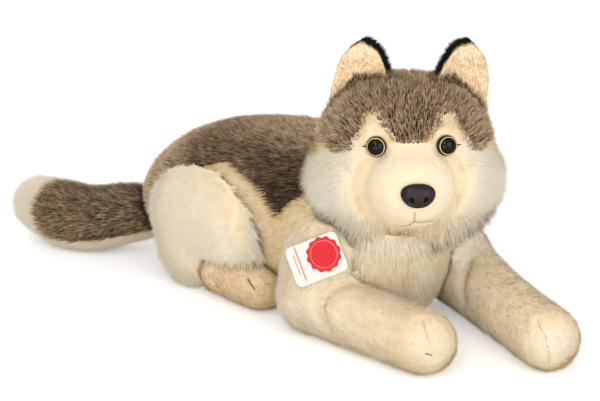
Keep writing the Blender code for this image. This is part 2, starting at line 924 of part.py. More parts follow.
def thigh_form(label, side):
    """A round haunch that leans on the body, with its lower edge on the table."""
    radii = (thigh_length / 2, thigh_width / 2, thigh_height / 2)
    centre_y = side * (body_width / 2 - thigh_inset)
    placement = Matrix.Translation((thigh_x, centre_y, thigh_lift))
    knee = (thigh_length * 0.2, side * knee_out, -thigh_height * 0.08)
    knee_radii = (thigh_length * 0.31, thigh_width * 0.44, thigh_height * 0.36)
    heel = (-thigh_length * 0.1, 0.0, heel_height - thigh_lift)
    heel_radii = (thigh_length * 0.3, thigh_width * 0.45, heel_radius)
    lobes = (((0.0, 0.0, 0.0), radii), (knee, knee_radii), (heel, heel_radii))
    return lobed_form("thigh_form_" + label, lobes, 6, 10.0, placement)


def hind_foot_form(label, side):
    half = hind_foot_length / 2
    radius = hind_foot_width / 2
    aside = side * (body_width / 2 + hind_foot_out)
    centre = Vector((hind_foot_x, aside, hind_foot_height / 2 * 0.94))
    heading = Vector((math.cos(hind_foot_splay), side * math.sin(hind_foot_splay), 0.0))
    span = half - radius
    points = (centre - heading * span, centre, centre + heading * span)
    radii = (radius * 0.92, radius, radius)
    flatten = hind_foot_height / hind_foot_width
    return limb("hind_foot_form_" + label, points, radii, 4, 14, flatten)


def tail_form():
    """A brush tail that leaves the rump and sweeps along the table."""
    resting = tail_radius - tail_settle
    points = (
        (rump_x + tail_root_inside, -tail_root_right, tail_root_height),
        (rump_x - tail_lean_behind, -tail_lean_right, tail_lean_height),
        (rump_x - tail_bend_behind, -tail_bend_right, resting),
        (rump_x - tail_sweep_behind, -tail_sweep_right, resting),
        (rump_x - tail_end_behind, -tail_end_right, tail_radius + tail_end_rise),
    )
    radii = (tail_radius * 0.72, tail_radius * 0.92, tail_radius, tail_radius, tail_tip_radius)
    return limb("tail_form", points, radii, 9, 14)


def tail_region(name, grow):
    """Side view of the dark stripe on the tail."""
    outline = (
        (rump_x - stripe_end - grow, stripe_end_height),
        (rump_x - stripe_corner - grow, stripe_corner_height - grow),
        (rump_x - stripe_low, stripe_low_height - grow),
        (rump_x - stripe_rise, stripe_rise_height - grow),
        (rump_x + stripe_root, stripe_root_height - grow),
        (rump_x + stripe_root, stripe_reach),
        (rump_x - stripe_corner - grow, stripe_reach),
    )
    side_view = Matrix(((1, 0, 0, 0), (0, 0, 1, 0), (0, 1, 0, 0), (0, 0, 0, 1)))
    return prism(name, outline, -stripe_reach, stripe_reach, side_view)


def build_legs(torso, head, materials):
    """Forelegs, haunches and hind feet, each cut clear of what it leans on."""
    pairs = (
        ("right", -1, elbow_ahead_right, elbow_side_right, foreleg_reach_right, foreleg_swing_right),
        ("left", 1, elbow_ahead_left, elbow_side_left, foreleg_reach_left, foreleg_swing_left),
    )
    forelegs = []
    for label, side, ahead, aside, reach, swing in pairs:
        foreleg = foreleg_form(label, side, ahead, aside, reach, swing)
        thigh = thigh_form(label, side)
        foot = hind_foot_form(label, side)
        built = (
            ("foreleg_" + label, foreleg, (torso, head)),
            ("thigh_" + label, thigh, (torso, foreleg, foot)),
            ("hind_foot_" + label, foot, (torso, foreleg)),
        )
        for name, form, neighbours in built:
            part = copy_of(form, name)
            for neighbour in neighbours:
                combine(part, grown(neighbour, seam_gap))
            set_down(part)
            part.data.materials.clear()
            part.data.materials.append(materials["cream_fur"])
            if form is foreleg:
                forelegs.append(part)
        remove(foreleg, thigh, foot)
    return forelegs


def build_tail(torso, thighs, materials):
    form = tail_form()
    tail = copy_of(form, "tail")
    panel = inlay(
        "tail_panel",
        form,
        tail,
        tail_region("tail_region", 0.0),
        tail_region("tail_rebate", seam_gap),
        materials["brown_fur"],
    )
    for item in (tail, panel):
        combine(item, grown(torso, seam_gap))
        for thigh in thighs:
            combine(item, grown(thigh, seam_gap))
        set_down(item)
    tail.data.materials.append(materials["cream_fur"])
    remove(form, *thighs)
    return tail, panel


def rounded_card(length, width, corner):
    """Outline of a card with round corners, four points to a corner."""
    points = []
    for quarter in range(4):
        middle_x = (length / 2 - corner) * (1 if quarter in (0, 3) else -1)
        middle_y = (width / 2 - corner) * (1 if quarter in (0, 1) else -1)
        for step in range(5):
            angle = math.pi / 2 * (quarter + step / 4)
            points.append((middle_x + corner * math.cos(angle), middle_y + corner * math.sin(angle)))
    return points


def build_tag(foreleg, material):
    """A folded card that lies flat against the fullest part of the right shoulder."""
    normal = Vector(
        (
            math.cos(tag_azimuth) * math.cos(tag_tilt),
            math.sin(tag_azimuth) * math.cos(tag_tilt),
            math.sin(tag_tilt),
        )
    )
    shoulder = chest_place(shoulder_ahead, -shoulder_side, shoulder_height)
    level = Vector((0, 0, 1)).cross(normal).normalized()
    rise = normal.cross(level)
    long_side = level * math.cos(tag_roll) + rise * math.sin(tag_roll)
    short_side = normal.cross(long_side)
    footprint = [vertex.co for vertex in foreleg.data.vertices]
    near = [p for p in footprint if ((p - shoulder).cross(normal)).length < tag_length / 2]
    lift = max((p - shoulder).dot(normal) for p in near) + seam_gap
    frame = Matrix((long_side, short_side, normal)).transposed().to_4x4()
    frame = Matrix.Translation(shoulder + normal * lift) @ frame
    thickness = 2 * tag_card + tag_opening
    outline = rounded_card(tag_length, tag_width, tag_corner)
    tag = prism("hang_tag", outline, 0.0, thickness, frame)
    inside = (
        (-tag_length, -tag_width),
        (tag_length, -tag_width),
        (tag_length, tag_width / 2 - tag_fold),
        (-tag_length, tag_width / 2 - tag_fold),
    )
    combine(tag, prism("tag_opening", inside, tag_card, tag_card + tag_opening, frame))
    tag.data.materials.clear()
    tag.data.materials.append(material)
    return tag


def build_materials():
    return {
        "cream_fur": make_material("cream_fur", (0.85, 0.73, 0.55), 0.95),
        "brown_fur": make_material("brown_fur", (0.22, 0.15, 0.1), 0.95),
        "black_fur": make_material("black_fur", (0.015, 0.014, 0.014), 0.95),
        "ear_lining": make_material("ear_lining", (0.85, 0.73, 0.55), 0.95),
        "black_gloss": make_material("black_gloss", (0.01, 0.01, 0.01), 0.05),
        "nose_plastic": make_material("nose_plastic", (0.035, 0.022, 0.025), 0.35),
        "white_plastic": make_material("white_plastic", (0.8, 0.8, 0.78), 0.4),
        "tag_card": make_material("tag_card", (0.9, 0.86, 0.8), 0.6),
    }


def build():
    clear_scene()
    materials = build_materials()
    torso_full = torso_form()
    head_full = head_form()
    build_body(torso_full, head_full, materials)
    head, _ = build_head(head_full, materials)
    for label, side in (("right", -1), ("left", 1)):
        build_eye("eye_" + label, side, head_full, head, materials)
    build_nose(head_full, head, materials)
    build_ear("right", -1, ear_lean_right, head_full, materials)
    build_ear("left", 1, ear_lean_left, head_full, materials)
    forelegs = build_legs(torso_full, head_full, materials)
    build_tag(forelegs[0], materials["tag_card"])
    thighs = [thigh_form(label, side) for label, side in (("tail_side_a", -1), ("tail_side_b", 1))]
    build_tail(torso_full, thighs, materials)
    remove(torso_full, head_full)


build()
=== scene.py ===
import json
import math

import bmesh
import bpy
import numpy as np
from mathutils import Matrix, Vector
from mathutils.bvhtree import BVHTree

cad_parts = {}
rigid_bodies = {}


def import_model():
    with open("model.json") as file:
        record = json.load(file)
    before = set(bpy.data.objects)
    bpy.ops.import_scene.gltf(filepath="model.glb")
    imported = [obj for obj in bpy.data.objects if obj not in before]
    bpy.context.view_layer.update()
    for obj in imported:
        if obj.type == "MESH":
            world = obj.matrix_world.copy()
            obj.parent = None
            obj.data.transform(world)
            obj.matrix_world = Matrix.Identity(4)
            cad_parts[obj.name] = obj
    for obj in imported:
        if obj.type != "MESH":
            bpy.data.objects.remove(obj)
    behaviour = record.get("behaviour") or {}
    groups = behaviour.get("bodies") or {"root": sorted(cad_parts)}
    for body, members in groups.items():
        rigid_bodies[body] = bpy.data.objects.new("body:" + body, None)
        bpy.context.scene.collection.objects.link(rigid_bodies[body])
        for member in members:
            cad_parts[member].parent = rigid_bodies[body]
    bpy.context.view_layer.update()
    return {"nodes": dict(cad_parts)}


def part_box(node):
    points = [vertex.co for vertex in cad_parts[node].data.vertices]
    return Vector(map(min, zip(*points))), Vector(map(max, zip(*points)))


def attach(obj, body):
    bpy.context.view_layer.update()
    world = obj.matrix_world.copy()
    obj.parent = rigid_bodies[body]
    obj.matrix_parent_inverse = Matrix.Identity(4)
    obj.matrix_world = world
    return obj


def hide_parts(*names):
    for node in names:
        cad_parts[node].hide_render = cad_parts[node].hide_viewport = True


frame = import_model()
nodes = frame["nodes"]
mm = 0.001
pileMap = "OFBake"  # across the map goes the tone of a hair, up the map goes the way from root to tip


# Where the head and its fittings sit, as in the part's source

headPlace = Matrix((
    (0.73135, -0.05944, 0.6794, 0.10142),
    (0.682, 0.06374, -0.72857, -0.01014),
    (0.0, 0.99619, 0.08716, 0.121),
    (0.0, 0.0, 0.0, 1.0),
))
eyePlaces = {
    "right": Matrix((
        (0.85188, -0.1136, 0.51126, 0.11355),
        (0.52373, 0.18477, -0.8316, -0.05512),
        (0.0, 0.97619, 0.2169, 0.13651),
        (0.0, 0.0, 0.0, 1.0),
    )),
    "left": Matrix((
        (0.58188, -0.1764, 0.79391, 0.14545),
        (0.81327, 0.12621, -0.56803, -0.02538),
        (0.0, 0.97619, 0.2169, 0.13652),
        (0.0, 0.0, 0.0, 1.0),
    )),
}
nosePlace = Matrix((
    (0.73135, -0.16603, 0.66148, 0.1497),
    (0.682, 0.17805, -0.70935, -0.05972),
    (0.0, 0.96991, 0.24345, 0.114),
    (0.0, 0.0, 0.0, 1.0),
))
tagPlace = Matrix((
    (0.74845, -0.51576, 0.41692, 0.0807),
    (0.51576, 0.05746, -0.8548, -0.07179),
    (0.41692, 0.8548, 0.30902, 0.05905),
    (0.0, 0.0, 0.0, 1.0),
))


# Small helpers


def linear(red, green, blue):  # a colour as a picture shows it, made linear
    return tuple(((c + 0.055) / 1.055) ** 2.4 if c > 0.04 else c / 12.92 for c in (red, green, blue))


def selectOnly(*items):
    bpy.ops.object.select_all(action="DESELECT")
    for item in items:
        item.select_set(True)
    bpy.context.view_layer.objects.active = items[0]


def addModifier(item, kind, **values):
    selectOnly(item)
    bpy.ops.object.modifier_add(type=kind)
    modifier = item.modifiers[-1]
    for key, value in values.items():
        setattr(modifier, key, value)
    return modifier


def applyModifier(item, kind, **values):
    modifier = addModifier(item, kind, **values)
    bpy.ops.object.modifier_apply(modifier=modifier.name)


def placeMesh(item, place):  # moves the mesh and leaves the object at the origin
    item.data.transform(place)
    item.matrix_world = Matrix.Identity(4)
    item.data.update()


def placesOf(item):
    flat = np.zeros(len(item.data.vertices) * 3)
    item.data.vertices.foreach_get("co", flat)
    return flat.reshape(-1, 3)


def setPlaces(item, places):
    item.data.vertices.foreach_set("co", places.ravel())
    item.data.update()


def normalsOf(item):
    flat = np.zeros(len(item.data.vertices) * 3)
    item.data.vertices.foreach_get("normal", flat)
    return flat.reshape(-1, 3)


def unit(vectors):
    return vectors / np.maximum(np.linalg.norm(vectors, axis=1, keepdims=True), 1e-9)


def onSurface(vectors, normals):  # the part of each vector that lies along the skin
    flat = vectors - normals * (vectors * normals).sum(1, keepdims=True)
    return unit(flat)


def between(value, low, high):  # 0 below low, 1 above high, smooth between them
    share = np.clip((value - low) / (high - low), 0, 1)
    return share * share * (3 - 2 * share)


def cloudy(points, size, seed):  # smooth random lumps from -1 to 1, about size across
    cell = points / size
    base = np.floor(cell).astype(np.int64)
    part = cell - base
    part = part * part * (3 - 2 * part)
    total = np.zeros(len(points))
    for dx in (0, 1):
        for dy in (0, 1):
            for dz in (0, 1):
                corner = base + (dx, dy, dz)
                mixed = corner[:, 0] * 73856093 ^ corner[:, 1] * 19349663 ^ corner[:, 2] * 83492791
                mixed = (mixed ^ (seed * 7919)) & 0x7FFFFFFF
                mixed = ((mixed ^ (mixed >> 13)) * 1274126177) & 0x7FFFFFFF
                mixed = ((mixed ^ (mixed >> 16)) * 60493) & 0x7FFFFFFF
                value = ((mixed >> 8) & 0xFFFF) / 32767.5 - 1
                share = np.abs(1 - dx - part[:, 0]) * np.abs(1 - dy - part[:, 1])
                total += value * share * np.abs(1 - dz - part[:, 2])
    return total


def cloudyVectors(points, size, seed):
    return np.stack([cloudy(points, size, seed + k) for k in range(3)], axis=1)


def inFrame(place, points):  # points in the frame of a matrix, in millimetres
    turn = np.array(place.inverted())
    return (points @ turn[:3, :3].T + turn[:3, 3]) * 1000


def outOfFrame(place, local):  # points given in millimetres in the frame of a matrix
    turn = np.array(place)
    return local * mm @ turn[:3, :3].T + turn[:3, 3]


def fromFrame(place, vectors):  # directions out of the frame of a matrix
    return vectors @ np.array(place)[:3, :3].T


# Materials


def newMaterial(name):
    material = bpy.data.materials.new(name)
    material.use_nodes = True
    return material, material.node_tree.nodes, material.node_tree.links


def ramp(nodesHere, stops):
    made = nodesHere.new("ShaderNodeValToRGB")
    elements = made.color_ramp.elements
    while len(elements) > 1:
        elements.remove(elements[0])
    elements[0].position = stops[0][0]
    elements[0].color = (*linear(*stops[0][1]), 1)
    for place, colour in stops[1:]:
        element = elements.new(place)
        element.color = (*linear(*colour), 1)
    return made


pileColours = {
    "creamRoot": ((0.0, (0.62, 0.46, 0.28)), (0.2, (0.87, 0.72, 0.50)), (0.45, (0.95, 0.87, 0.71)),
                  (0.75, (0.975, 0.93, 0.84)), (1.0, (0.975, 0.955, 0.925))),
    "creamTip": ((0.0, (0.74, 0.58, 0.38)), (0.2, (0.93, 0.81, 0.60)), (0.45, (0.98, 0.925, 0.80)),
                 (0.75, (0.985, 0.955, 0.90)), (1.0, (0.985, 0.975, 0.955))),
    "brownRoot": ((0.0, (0.13, 0.095, 0.07)), (0.5, (0.27, 0.205, 0.155)), (1.0, (0.50, 0.39, 0.29))),
    "brownTip": ((0.0, (0.27, 0.20, 0.145)), (0.4, (0.62, 0.50, 0.375)), (0.75, (0.84, 0.71, 0.55)),
                 (1.0, (0.94, 0.84, 0.69))),
    "blackRoot": ((0.0, (0.03, 0.03, 0.03)), (1.0, (0.06, 0.055, 0.055))),
    "blackTip": ((0.0, (0.06, 0.055, 0.055)), (1.0, (0.13, 0.125, 0.125))),
}


def pileMaterial(name, root, tip, turnAt):  # colour runs from the root to the tip of each hair
    material, made, links = newMaterial(name)
    shader = made["Principled BSDF"]
    coordinates = made.new("ShaderNodeUVMap")
    coordinates.uv_map = pileMap
    split = made.new("ShaderNodeSeparateXYZ")
    links.new(coordinates.outputs["UV"], split.inputs[0])
    rootRamp = ramp(made, pileColours[root])
    tipRamp = ramp(made, pileColours[tip])
    links.new(split.outputs["X"], rootRamp.inputs["Fac"])
    links.new(split.outputs["X"], tipRamp.inputs["Fac"])
    rise = made.new("ShaderNodeMapRange")
    rise.interpolation_type = "SMOOTHSTEP"
    rise.inputs["From Min"].default_value = turnAt[0]
    rise.inputs["From Max"].default_value = turnAt[1]
    links.new(split.outputs["Y"], rise.inputs["Value"])
    mix = made.new("ShaderNodeMix")
    mix.data_type = "RGBA"
    links.new(rise.outputs["Result"], mix.inputs["Factor"])
    links.new(rootRamp.outputs["Color"], mix.inputs["A"])
    links.new(tipRamp.outputs["Color"], mix.inputs["B"])
    links.new(mix.outputs["Result"], shader.inputs["Base Color"])
    shader.inputs["Roughness"].default_value = 0.85
    shader.inputs["Specular IOR Level"].default_value = 0.25
    return material


def clothMaterial(name, dark, pale, grain):  # the woven back of the fur, seen only between hairs
    material, made, links = newMaterial(name)
    shader = made["Principled BSDF"]
    coordinates = made.new("ShaderNodeTexCoord")
    noise = made.new("ShaderNodeTexNoise")
    noise.inputs["Scale"].default_value = grain
    noise.inputs["Detail"].default_value = 4
    links.new(coordinates.outputs["Object"], noise.inputs["Vector"])
    tone = ramp(made, ((0.3, dark), (0.7, pale)))
    links.new(noise.outputs["Fac"], tone.inputs["Fac"])
    links.new(tone.outputs["Color"], shader.inputs["Base Color"])
    bump = made.new("ShaderNodeBump")
    bump.inputs["Strength"].default_value = 0.3
    bump.inputs["Distance"].default_value = 0.0006
    links.new(noise.outputs["Fac"], bump.inputs["Height"])
    links.new(bump.outputs["Normal"], shader.inputs["Normal"])
    shader.inputs["Roughness"].default_value = 0.95
    shader.inputs["Specular IOR Level"].default_value = 0.1
    return material


print("materials")
creamPile = pileMaterial("creamPile", "creamRoot", "creamTip", (0.0, 0.45))
brownPile = pileMaterial("brownPile", "brownRoot", "brownTip", (0.3, 0.85))
blackPile = pileMaterial("blackPile", "blackRoot", "blackTip", (0.1, 0.8))
creamCloth = clothMaterial("creamCloth", (0.93, 0.83, 0.67), (0.96, 0.89, 0.77), 900)
brownCloth = clothMaterial("brownCloth", (0.12, 0.09, 0.075), (0.22, 0.17, 0.14), 220)
blackCloth = clothMaterial("blackCloth", (0.03, 0.03, 0.03), (0.07, 0.065, 0.065), 220)


# Seams, stitches and creases: lines in millimetres, half their width, how much darker (along the creases
# painted shade) and how deep the fur is there


def fromHead(*points):  # points of the head's frame, in millimetres of the scene
    turn = np.array(headPlace)
    return np.array(points, float) @ turn[:3, :3].T + turn[:3, 3] * 1000


def otherSide(line):  # the same line on the left of the animal
    return np.array(line, float) * (1, -1, 1)


bridgeLine = ((-13.5, 15.3, 45.0), (-13.7, 10.7, 47.0), (-13.6, 6.0, 53.1), (-14.6, 1.9, 56.9))
lipLine = ((0.0, -24.5, 64.7), (0.0, -28.4, 62.3), (0.5, -33.3, 56.2))
mouthRightLine = ((0.5, -33.3, 56.2), (-2.8, -36.2, 52.2), (-7.1, -38.1, 46.4), (-12.1, -39.0, 40.4))
mouthLeftLine = ((0.5, -33.3, 56.2), (4.2, -33.4, 56.0), (10.8, -33.6, 52.3), (17.7, -35.6, 41.1))
cheekLine = ((42.0, 2.9, 31.8), (40.1, -5.0, 33.3), (34.7, -9.2, 36.4), (29.7, -11.6, 41.6))
nearToeLine = ((160.3, -67.4, 39.5), (164.9, -70.5, 36.4), (168.6, -72.7, 32.2), (171.3, -73.5, 28.2))
nearStitchLine = ((170.2, -76.7, 20.7), (171.9, -75.3, 20.8), (173.4, -73.2, 19.2), (174.5, -71.4, 17.5))
farToeLine = ((211.7, -18.5, 37.0), (216.6, -21.8, 33.3), (220.2, -23.0, 29.3), (222.7, -23.5, 24.8),
              (224.2, -23.0, 18.1), (222.4, -21.1, 9.0))
hindStitchLine = ((13.8, -63.3, 26.0), (17.8, -64.7, 23.3), (21.1, -64.6, 19.9))
chestLine = ((121.4, -24.6, 64.1), (120.5, -26.4, 57.6), (119.2, -27.6, 49.4), (118.1, -26.9, 39.3),
             (115.7, -25.6, 29.9))
elbowLine = ((95.4, -54.8, 46.9), (92.2, -61.9, 45.5), (87.9, -67.6, 42.1), (84.5, -72.4, 37.2),
             (84.6, -76.4, 31.7),
             (86.6, -77.9, 24.5), (90.4, -77.4, 16.4))
farRootLine = ((128.9, 26.8, 44.3), (131.4, 15.8, 37.8), (133.2, 9.3, 29.8), (137.5, 5.8, 23.0))
farFoldLine = ((132.9, 39.2, 45.1), (148.1, 26.7, 42.9), (165.4, 14.1, 41.6))

seams = {
    "headSkin": (
        {"line": fromHead(*bridgeLine), "half": 1.3, "darker": 0.34, "deep": 0.9},
        {"line": fromHead(*[(-x, y, z) for x, y, z in bridgeLine]), "half": 1.3, "darker": 0.34, "deep": 0.9},
        {"line": fromHead(*lipLine), "half": 0.9, "darker": 0.5, "deep": 0.8},
        {"line": fromHead(*mouthRightLine), "half": 0.9, "darker": 0.45, "deep": 0.8},
        {"line": fromHead(*mouthLeftLine), "half": 0.9, "darker": 0.45, "deep": 0.8},
        # the cheek lines are creases: their darkening is painted shade
        {"line": fromHead(*cheekLine), "half": 1.6, "darker": 0.3, "deep": 1.6},
        {"line": fromHead(*[(-x, y, z) for x, y, z in cheekLine]), "half": 1.6, "darker": 0.3, "deep": 1.6},
    ),
    "forelegRightSkin": (
        {"line": nearToeLine, "half": 2.0, "darker": 0.3, "deep": 1.4},
        {"line": nearStitchLine, "half": 1.3, "darker": 0.35, "deep": 1.2},
        # the elbow line is a crease: its darkening is painted shade
        {"line": elbowLine, "half": 3.0, "darker": 0.45, "deep": 4.2},
    ),
    "forelegLeftSkin": (
        {"line": farToeLine, "half": 2.0, "darker": 0.3, "deep": 1.4},
        {"line": farRootLine, "half": 2.4, "darker": 0.35, "deep": 2.4},
        # the fold line is a crease: its darkening is painted shade
        {"line": farFoldLine, "half": 2.4, "darker": 0.2, "deep": 1.4},
    ),
    "hindFootRightSkin": ({"line": hindStitchLine, "half": 1.4, "darker": 0.3, "deep": 1.2},),
    "hindFootLeftSkin": ({"line": otherSide(hindStitchLine), "half": 1.4, "darker": 0.3, "deep": 1.2},),
    # the chest line runs between the forelegs: its darkening is painted shade
    "bodySkin": ({"line": chestLine, "half": 1.8, "darker": 0.5, "deep": 2.2},),
}


def toLine(points, line):  # how far each point is from a line of straight steps
    nearest = np.full(len(points), 1e9)
    for start, end in zip(line[:-1], line[1:]):
        start, step = np.array(start, float), np.array(end, float) - np.array(start, float)
        share = np.clip((points - start) @ step / (step @ step), 0, 1)
        nearest = np.minimum(nearest, np.linalg.norm(points - start - share[:, None] * step, axis=1))
    return nearest


# The muzzle pad seen from the front, in the head's frame: half of its outline, and how far it stands out

padOutline = ((0, 15), (13, 13), (20, 8.5), (25.5, 1.5), (29, -5), (30.8, -12), (30.4, -18), (28.6, -25),
              (25.5, -32), (21, -37.5), (15, -42), (8, -45), (0, -46))
padLook = {"middle": -16.0, "foldDepth": 6.0, "foldHalf": 2.8, "swell": 1.4, "cheekInset": 2.8}


def beyondPad(local):  # how far outside the muzzle pad, in millimetres; less than nothing on the pad
    corners = np.array(padOutline, float) - (0, padLook["middle"])
    angles = np.arctan2(corners[:, 0], corners[:, 1])
    radii = np.linalg.norm(corners, axis=1)
    across, along = np.abs(local[:, 0]), local[:, 1] - padLook["middle"]
    return np.hypot(across, along) - np.interp(np.arctan2(across, along), angles, radii)


# Skins: one stuffed form for each part, under its fur


def mergedCopy(name, members):
    copies = []
    for node in members:
        copy = bpy.data.objects.new(name, nodes[node].data.copy())
        bpy.context.scene.collection.objects.link(copy)
        copies.append(copy)
    selectOnly(*copies)
    if len(copies) > 1:
        bpy.ops.object.join()
    skin = copies[0]
    skin.name = name
    bpy.ops.object.mode_set(mode="EDIT")
    bpy.ops.mesh.select_all(action="SELECT")
    bpy.ops.mesh.remove_doubles(threshold=0.00005)
    bpy.ops.object.mode_set(mode="OBJECT")
    skin.data.materials.clear()
    return skin


def keepOuter(item):  # the remesh can leave a small closed shell inside; only the largest stays
    built = bmesh.new()
    built.from_mesh(item.data)
    groups, unseen = [], set(built.verts)
    while unseen:
        front = [unseen.pop()]
        group = list(front)
        while front:
            vertex = front.pop()
            for edge in vertex.link_edges:
                other = edge.other_vert(vertex)
                if other in unseen:
                    unseen.discard(other)
                    group.append(other)
                    front.append(other)
        groups.append(group)
    groups.sort(key=len)
    for group in groups[:-1]:
        bmesh.ops.delete(built, geom=group, context="VERTS")
    built.to_mesh(item.data)
    built.free()


def fillOut(skin, pressure, most):  # the filling pushes the cloth out, but no further than most
    start = placesOf(skin)
    modifier = addModifier(skin, "CLOTH")
    settings = modifier.settings
    settings.use_pressure = True
    settings.uniform_pressure_force = pressure
    settings.effector_weights.gravity = 0
    settings.tension_stiffness = 30
    settings.compression_stiffness = 30
    scene = bpy.context.scene
    for step in range(1, 21):
        scene.frame_set(step)
    bpy.ops.object.modifier_apply(modifier=modifier.name)
    scene.frame_set(1)
    moves = placesOf(skin) - start
    far = np.linalg.norm(moves, axis=1, keepdims=True)
    moves *= np.minimum(1, most / np.maximum(far, 1e-9))
    setPlaces(skin, start + moves)


skinLooks = {
    "bodySkin": {"nodes": ("torso", "saddle_panel"), "voxel": 2.8, "inward": 1.3, "smooth": 3, "swell": 0.8},
    "headSkin": {"nodes": ("head", "crown_panel"), "voxel": 2.2, "inward": 1.4, "smooth": 4, "swell": 0.5},
    "forelegRightSkin": {"nodes": ("foreleg_right",), "voxel": 2.6, "inward": 1.4, "smooth": 5, "swell": 0.6},
    "forelegLeftSkin": {"nodes": ("foreleg_left",), "voxel": 2.6, "inward": 1.4, "smooth": 5, "swell": 0.6},
    "thighRightSkin": {"nodes": ("thigh_right",), "voxel": 2.8, "inward": 1.2, "smooth": 3, "swell": 0.6},
    "thighLeftSkin": {"nodes": ("thigh_left",), "voxel": 2.8, "inward": 1.2, "smooth": 3, "swell": 0.6},
    "hindFootRightSkin": {"nodes": ("hind_foot_right",), "voxel": 2.6, "inward": 1.2,
                          "smooth": 4, "swell": 0.5},
    "hindFootLeftSkin": {"nodes": ("hind_foot_left",), "voxel": 2.6, "inward": 1.2,
                         "smooth": 4, "swell": 0.5},
    "tailSkin": {"nodes": ("tail", "tail_panel"), "voxel": 2.8, "inward": 1.6, "smooth": 3, "swell": 0.6},
    "earRightLining": {"nodes": ("ear_lining_right",), "voxel": 1.6, "inward": 0.3,
                       "smooth": 1, "swell": 0.0},
    "earLeftLining": {"nodes": ("ear_lining_left",), "voxel": 1.6, "inward": 0.3, "smooth": 1, "swell": 0.0},
    "earRightBack": {"nodes": ("ear_back_right",), "voxel": 1.6, "inward": 0.3, "smooth": 1, "swell": 0.0},
    "earLeftBack": {"nodes": ("ear_back_left",), "voxel": 1.6, "inward": 0.3, "smooth": 1, "swell": 0.0},
}


def makeSkin(name, look, cloths):
    skin = mergedCopy(name, look["nodes"])
    applyModifier(skin, "REMESH", mode="VOXEL", voxel_size=look["voxel"] * mm)
    keepOuter(skin)
    applyModifier(skin, "SMOOTH", factor=0.5, iterations=look["smooth"])
    applyModifier(skin, "DISPLACE", strength=-look["inward"] * mm, mid_level=0.0)
    if look["swell"] > 0:
        fillOut(skin, 4.0, look["swell"] * mm)
    for cloth in cloths:
        skin.data.materials.append(cloth)
    places = placesOf(skin)
    places[:, 2] = np.maximum(places[:, 2], 0.05 * mm)
    setPlaces(skin, places)
    skin.data.shade_smooth()
    return skin


def treeOf(node):
    built = bmesh.new()
    built.from_mesh(nodes[node].data)
    bmesh.ops.remove_doubles(built, verts=built.verts, dist=0.00005)
    tree = BVHTree.FromBMesh(built)
    built.free()
    return tree


def distanceTo(node, points):  # from each point to the nearest face of a part
    return np.array([trees[node].find_nearest(Vector(p))[3] for p in points])


def paintZones(skin, panel, carrier):  # the second cloth goes where the dark panel is nearer
    for face in skin.data.polygons:
        middle = face.center
        toPanel = trees[panel].find_nearest(middle)[3]
        toCarrier = trees[carrier].find_nearest(middle)[3]
        face.material_index = 1 if toPanel < toCarrier else 0


def hollowForFittings(skin):  # the eyes and the nose are pulled in, so the cloth dips round them
    places = placesOf(skin)
    for place, wide, high, deep in fittingHollows:
        local = inFrame(place, places)
        reach = np.sqrt((local[:, 0] / wide) ** 2 + (local[:, 1] / high) ** 2)
        near = (reach < 1.5) & (local[:, 2] > -14)
        share = 1 - between(reach[near], 0.85, 1.5)
        moved = local[near]
        moved[:, 2] += np.minimum(deep - moved[:, 2], 0) * share
        places[near] = outOfFrame(place, moved)
    setPlaces(skin, places)


def shapeFace(skin):  # a fold runs round the muzzle pad, and the pad stands a little proud
    places = placesOf(skin)
    normals = normalsOf(skin)
    local = inFrame(headPlace, places)
    beyond = beyondPad(local)
    front = between(local[:, 2], 8, 18)
    low = 1 - 0.85 * between(local[:, 1], 0, 9)
    fold = padLook["foldDepth"] * np.exp(-((beyond - 1.0) / padLook["foldHalf"]) ** 2) * low
    swell = padLook["swell"] * (1 - between(beyond, -9, -1)) * low
    inset = padLook["cheekInset"] * between(beyond, 10, 24) * (1 - between(local[:, 1], 2, 14))
    setPlaces(skin, places + normals * ((swell - fold) * front - inset)[:, None] * mm)


def sinkSeams(skin, lines):  # the cloth is drawn in along its seams
    places = placesOf(skin)
    normals = normalsOf(skin)
    for seam in lines:
        far = toLine(places * 1000, seam["line"])
        share = np.exp(-(far / (seam["half"] * 1.4)) ** 2)
        places = places - normals * (share * seam["deep"])[:, None] * mm
    setPlaces(skin, places)


fittingHollows = (
    (eyePlaces["right"], 7.0, 7.0, -1.2),
    (eyePlaces["left"], 7.0, 7.0, -1.2),
    (nosePlace, 10.0, 7.2, -1.0),
)

print("skins")
trees = {node: treeOf(node) for look in skinLooks.values() for node in look["nodes"]}
skins = {}
for name, look in skinLooks.items():
    if "Back" in name:
        cloths = [blackCloth]
    elif len(look["nodes"]) > 1:
        cloths = [creamCloth, brownCloth]
    else:
        cloths = [creamCloth]
    skin = makeSkin(name, look, cloths)
    if len(look["nodes"]) > 1:
        paintZones(skin, look["nodes"][1], look["nodes"][0])
    if name == "headSkin":
        shapeFace(skin)
        hollowForFittings(skin)
    sinkSeams(skin, seams.get(name, ()))
    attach(skin, "root")
    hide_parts(*look["nodes"])
    skins[name] = skin
    print("  ", name, len(skin.data.polygons), "faces")


# Fur: hairs sown on a skin and combed

skewRay = Vector((0.31, 0.52, 0.795)).normalized()


def isInside(tree, point):  # an odd number of walls ahead means that the point is inside
    walls = 0
    place = Vector(point)
    while walls < 40:
        hit = tree.ray_cast(place, skewRay)[0]
        if hit is None:
            return walls % 2 == 1
        walls += 1
        place = hit + skewRay * 0.00001
    return False



def openFaces(skin, others):  # no hair grows where a neighbour or the table covers the skin
    data = skin.data
    weights = np.ones(len(data.polygons))
    boxes = {other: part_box(other) for other in others}
    for index, face in enumerate(data.polygons):
        middle = face.center
        if middle.z < 1.5 * mm and face.normal.z < -0.6:
            weights[index] = 0
            continue
        probe = middle + face.normal * 1.3 * mm
        for other in others:
            low, high = boxes[other]
            if all(low[k] < probe[k] < high[k] for k in range(3)) and isInside(trees[other], probe):
                weights[index] = 0
                break
    return weights


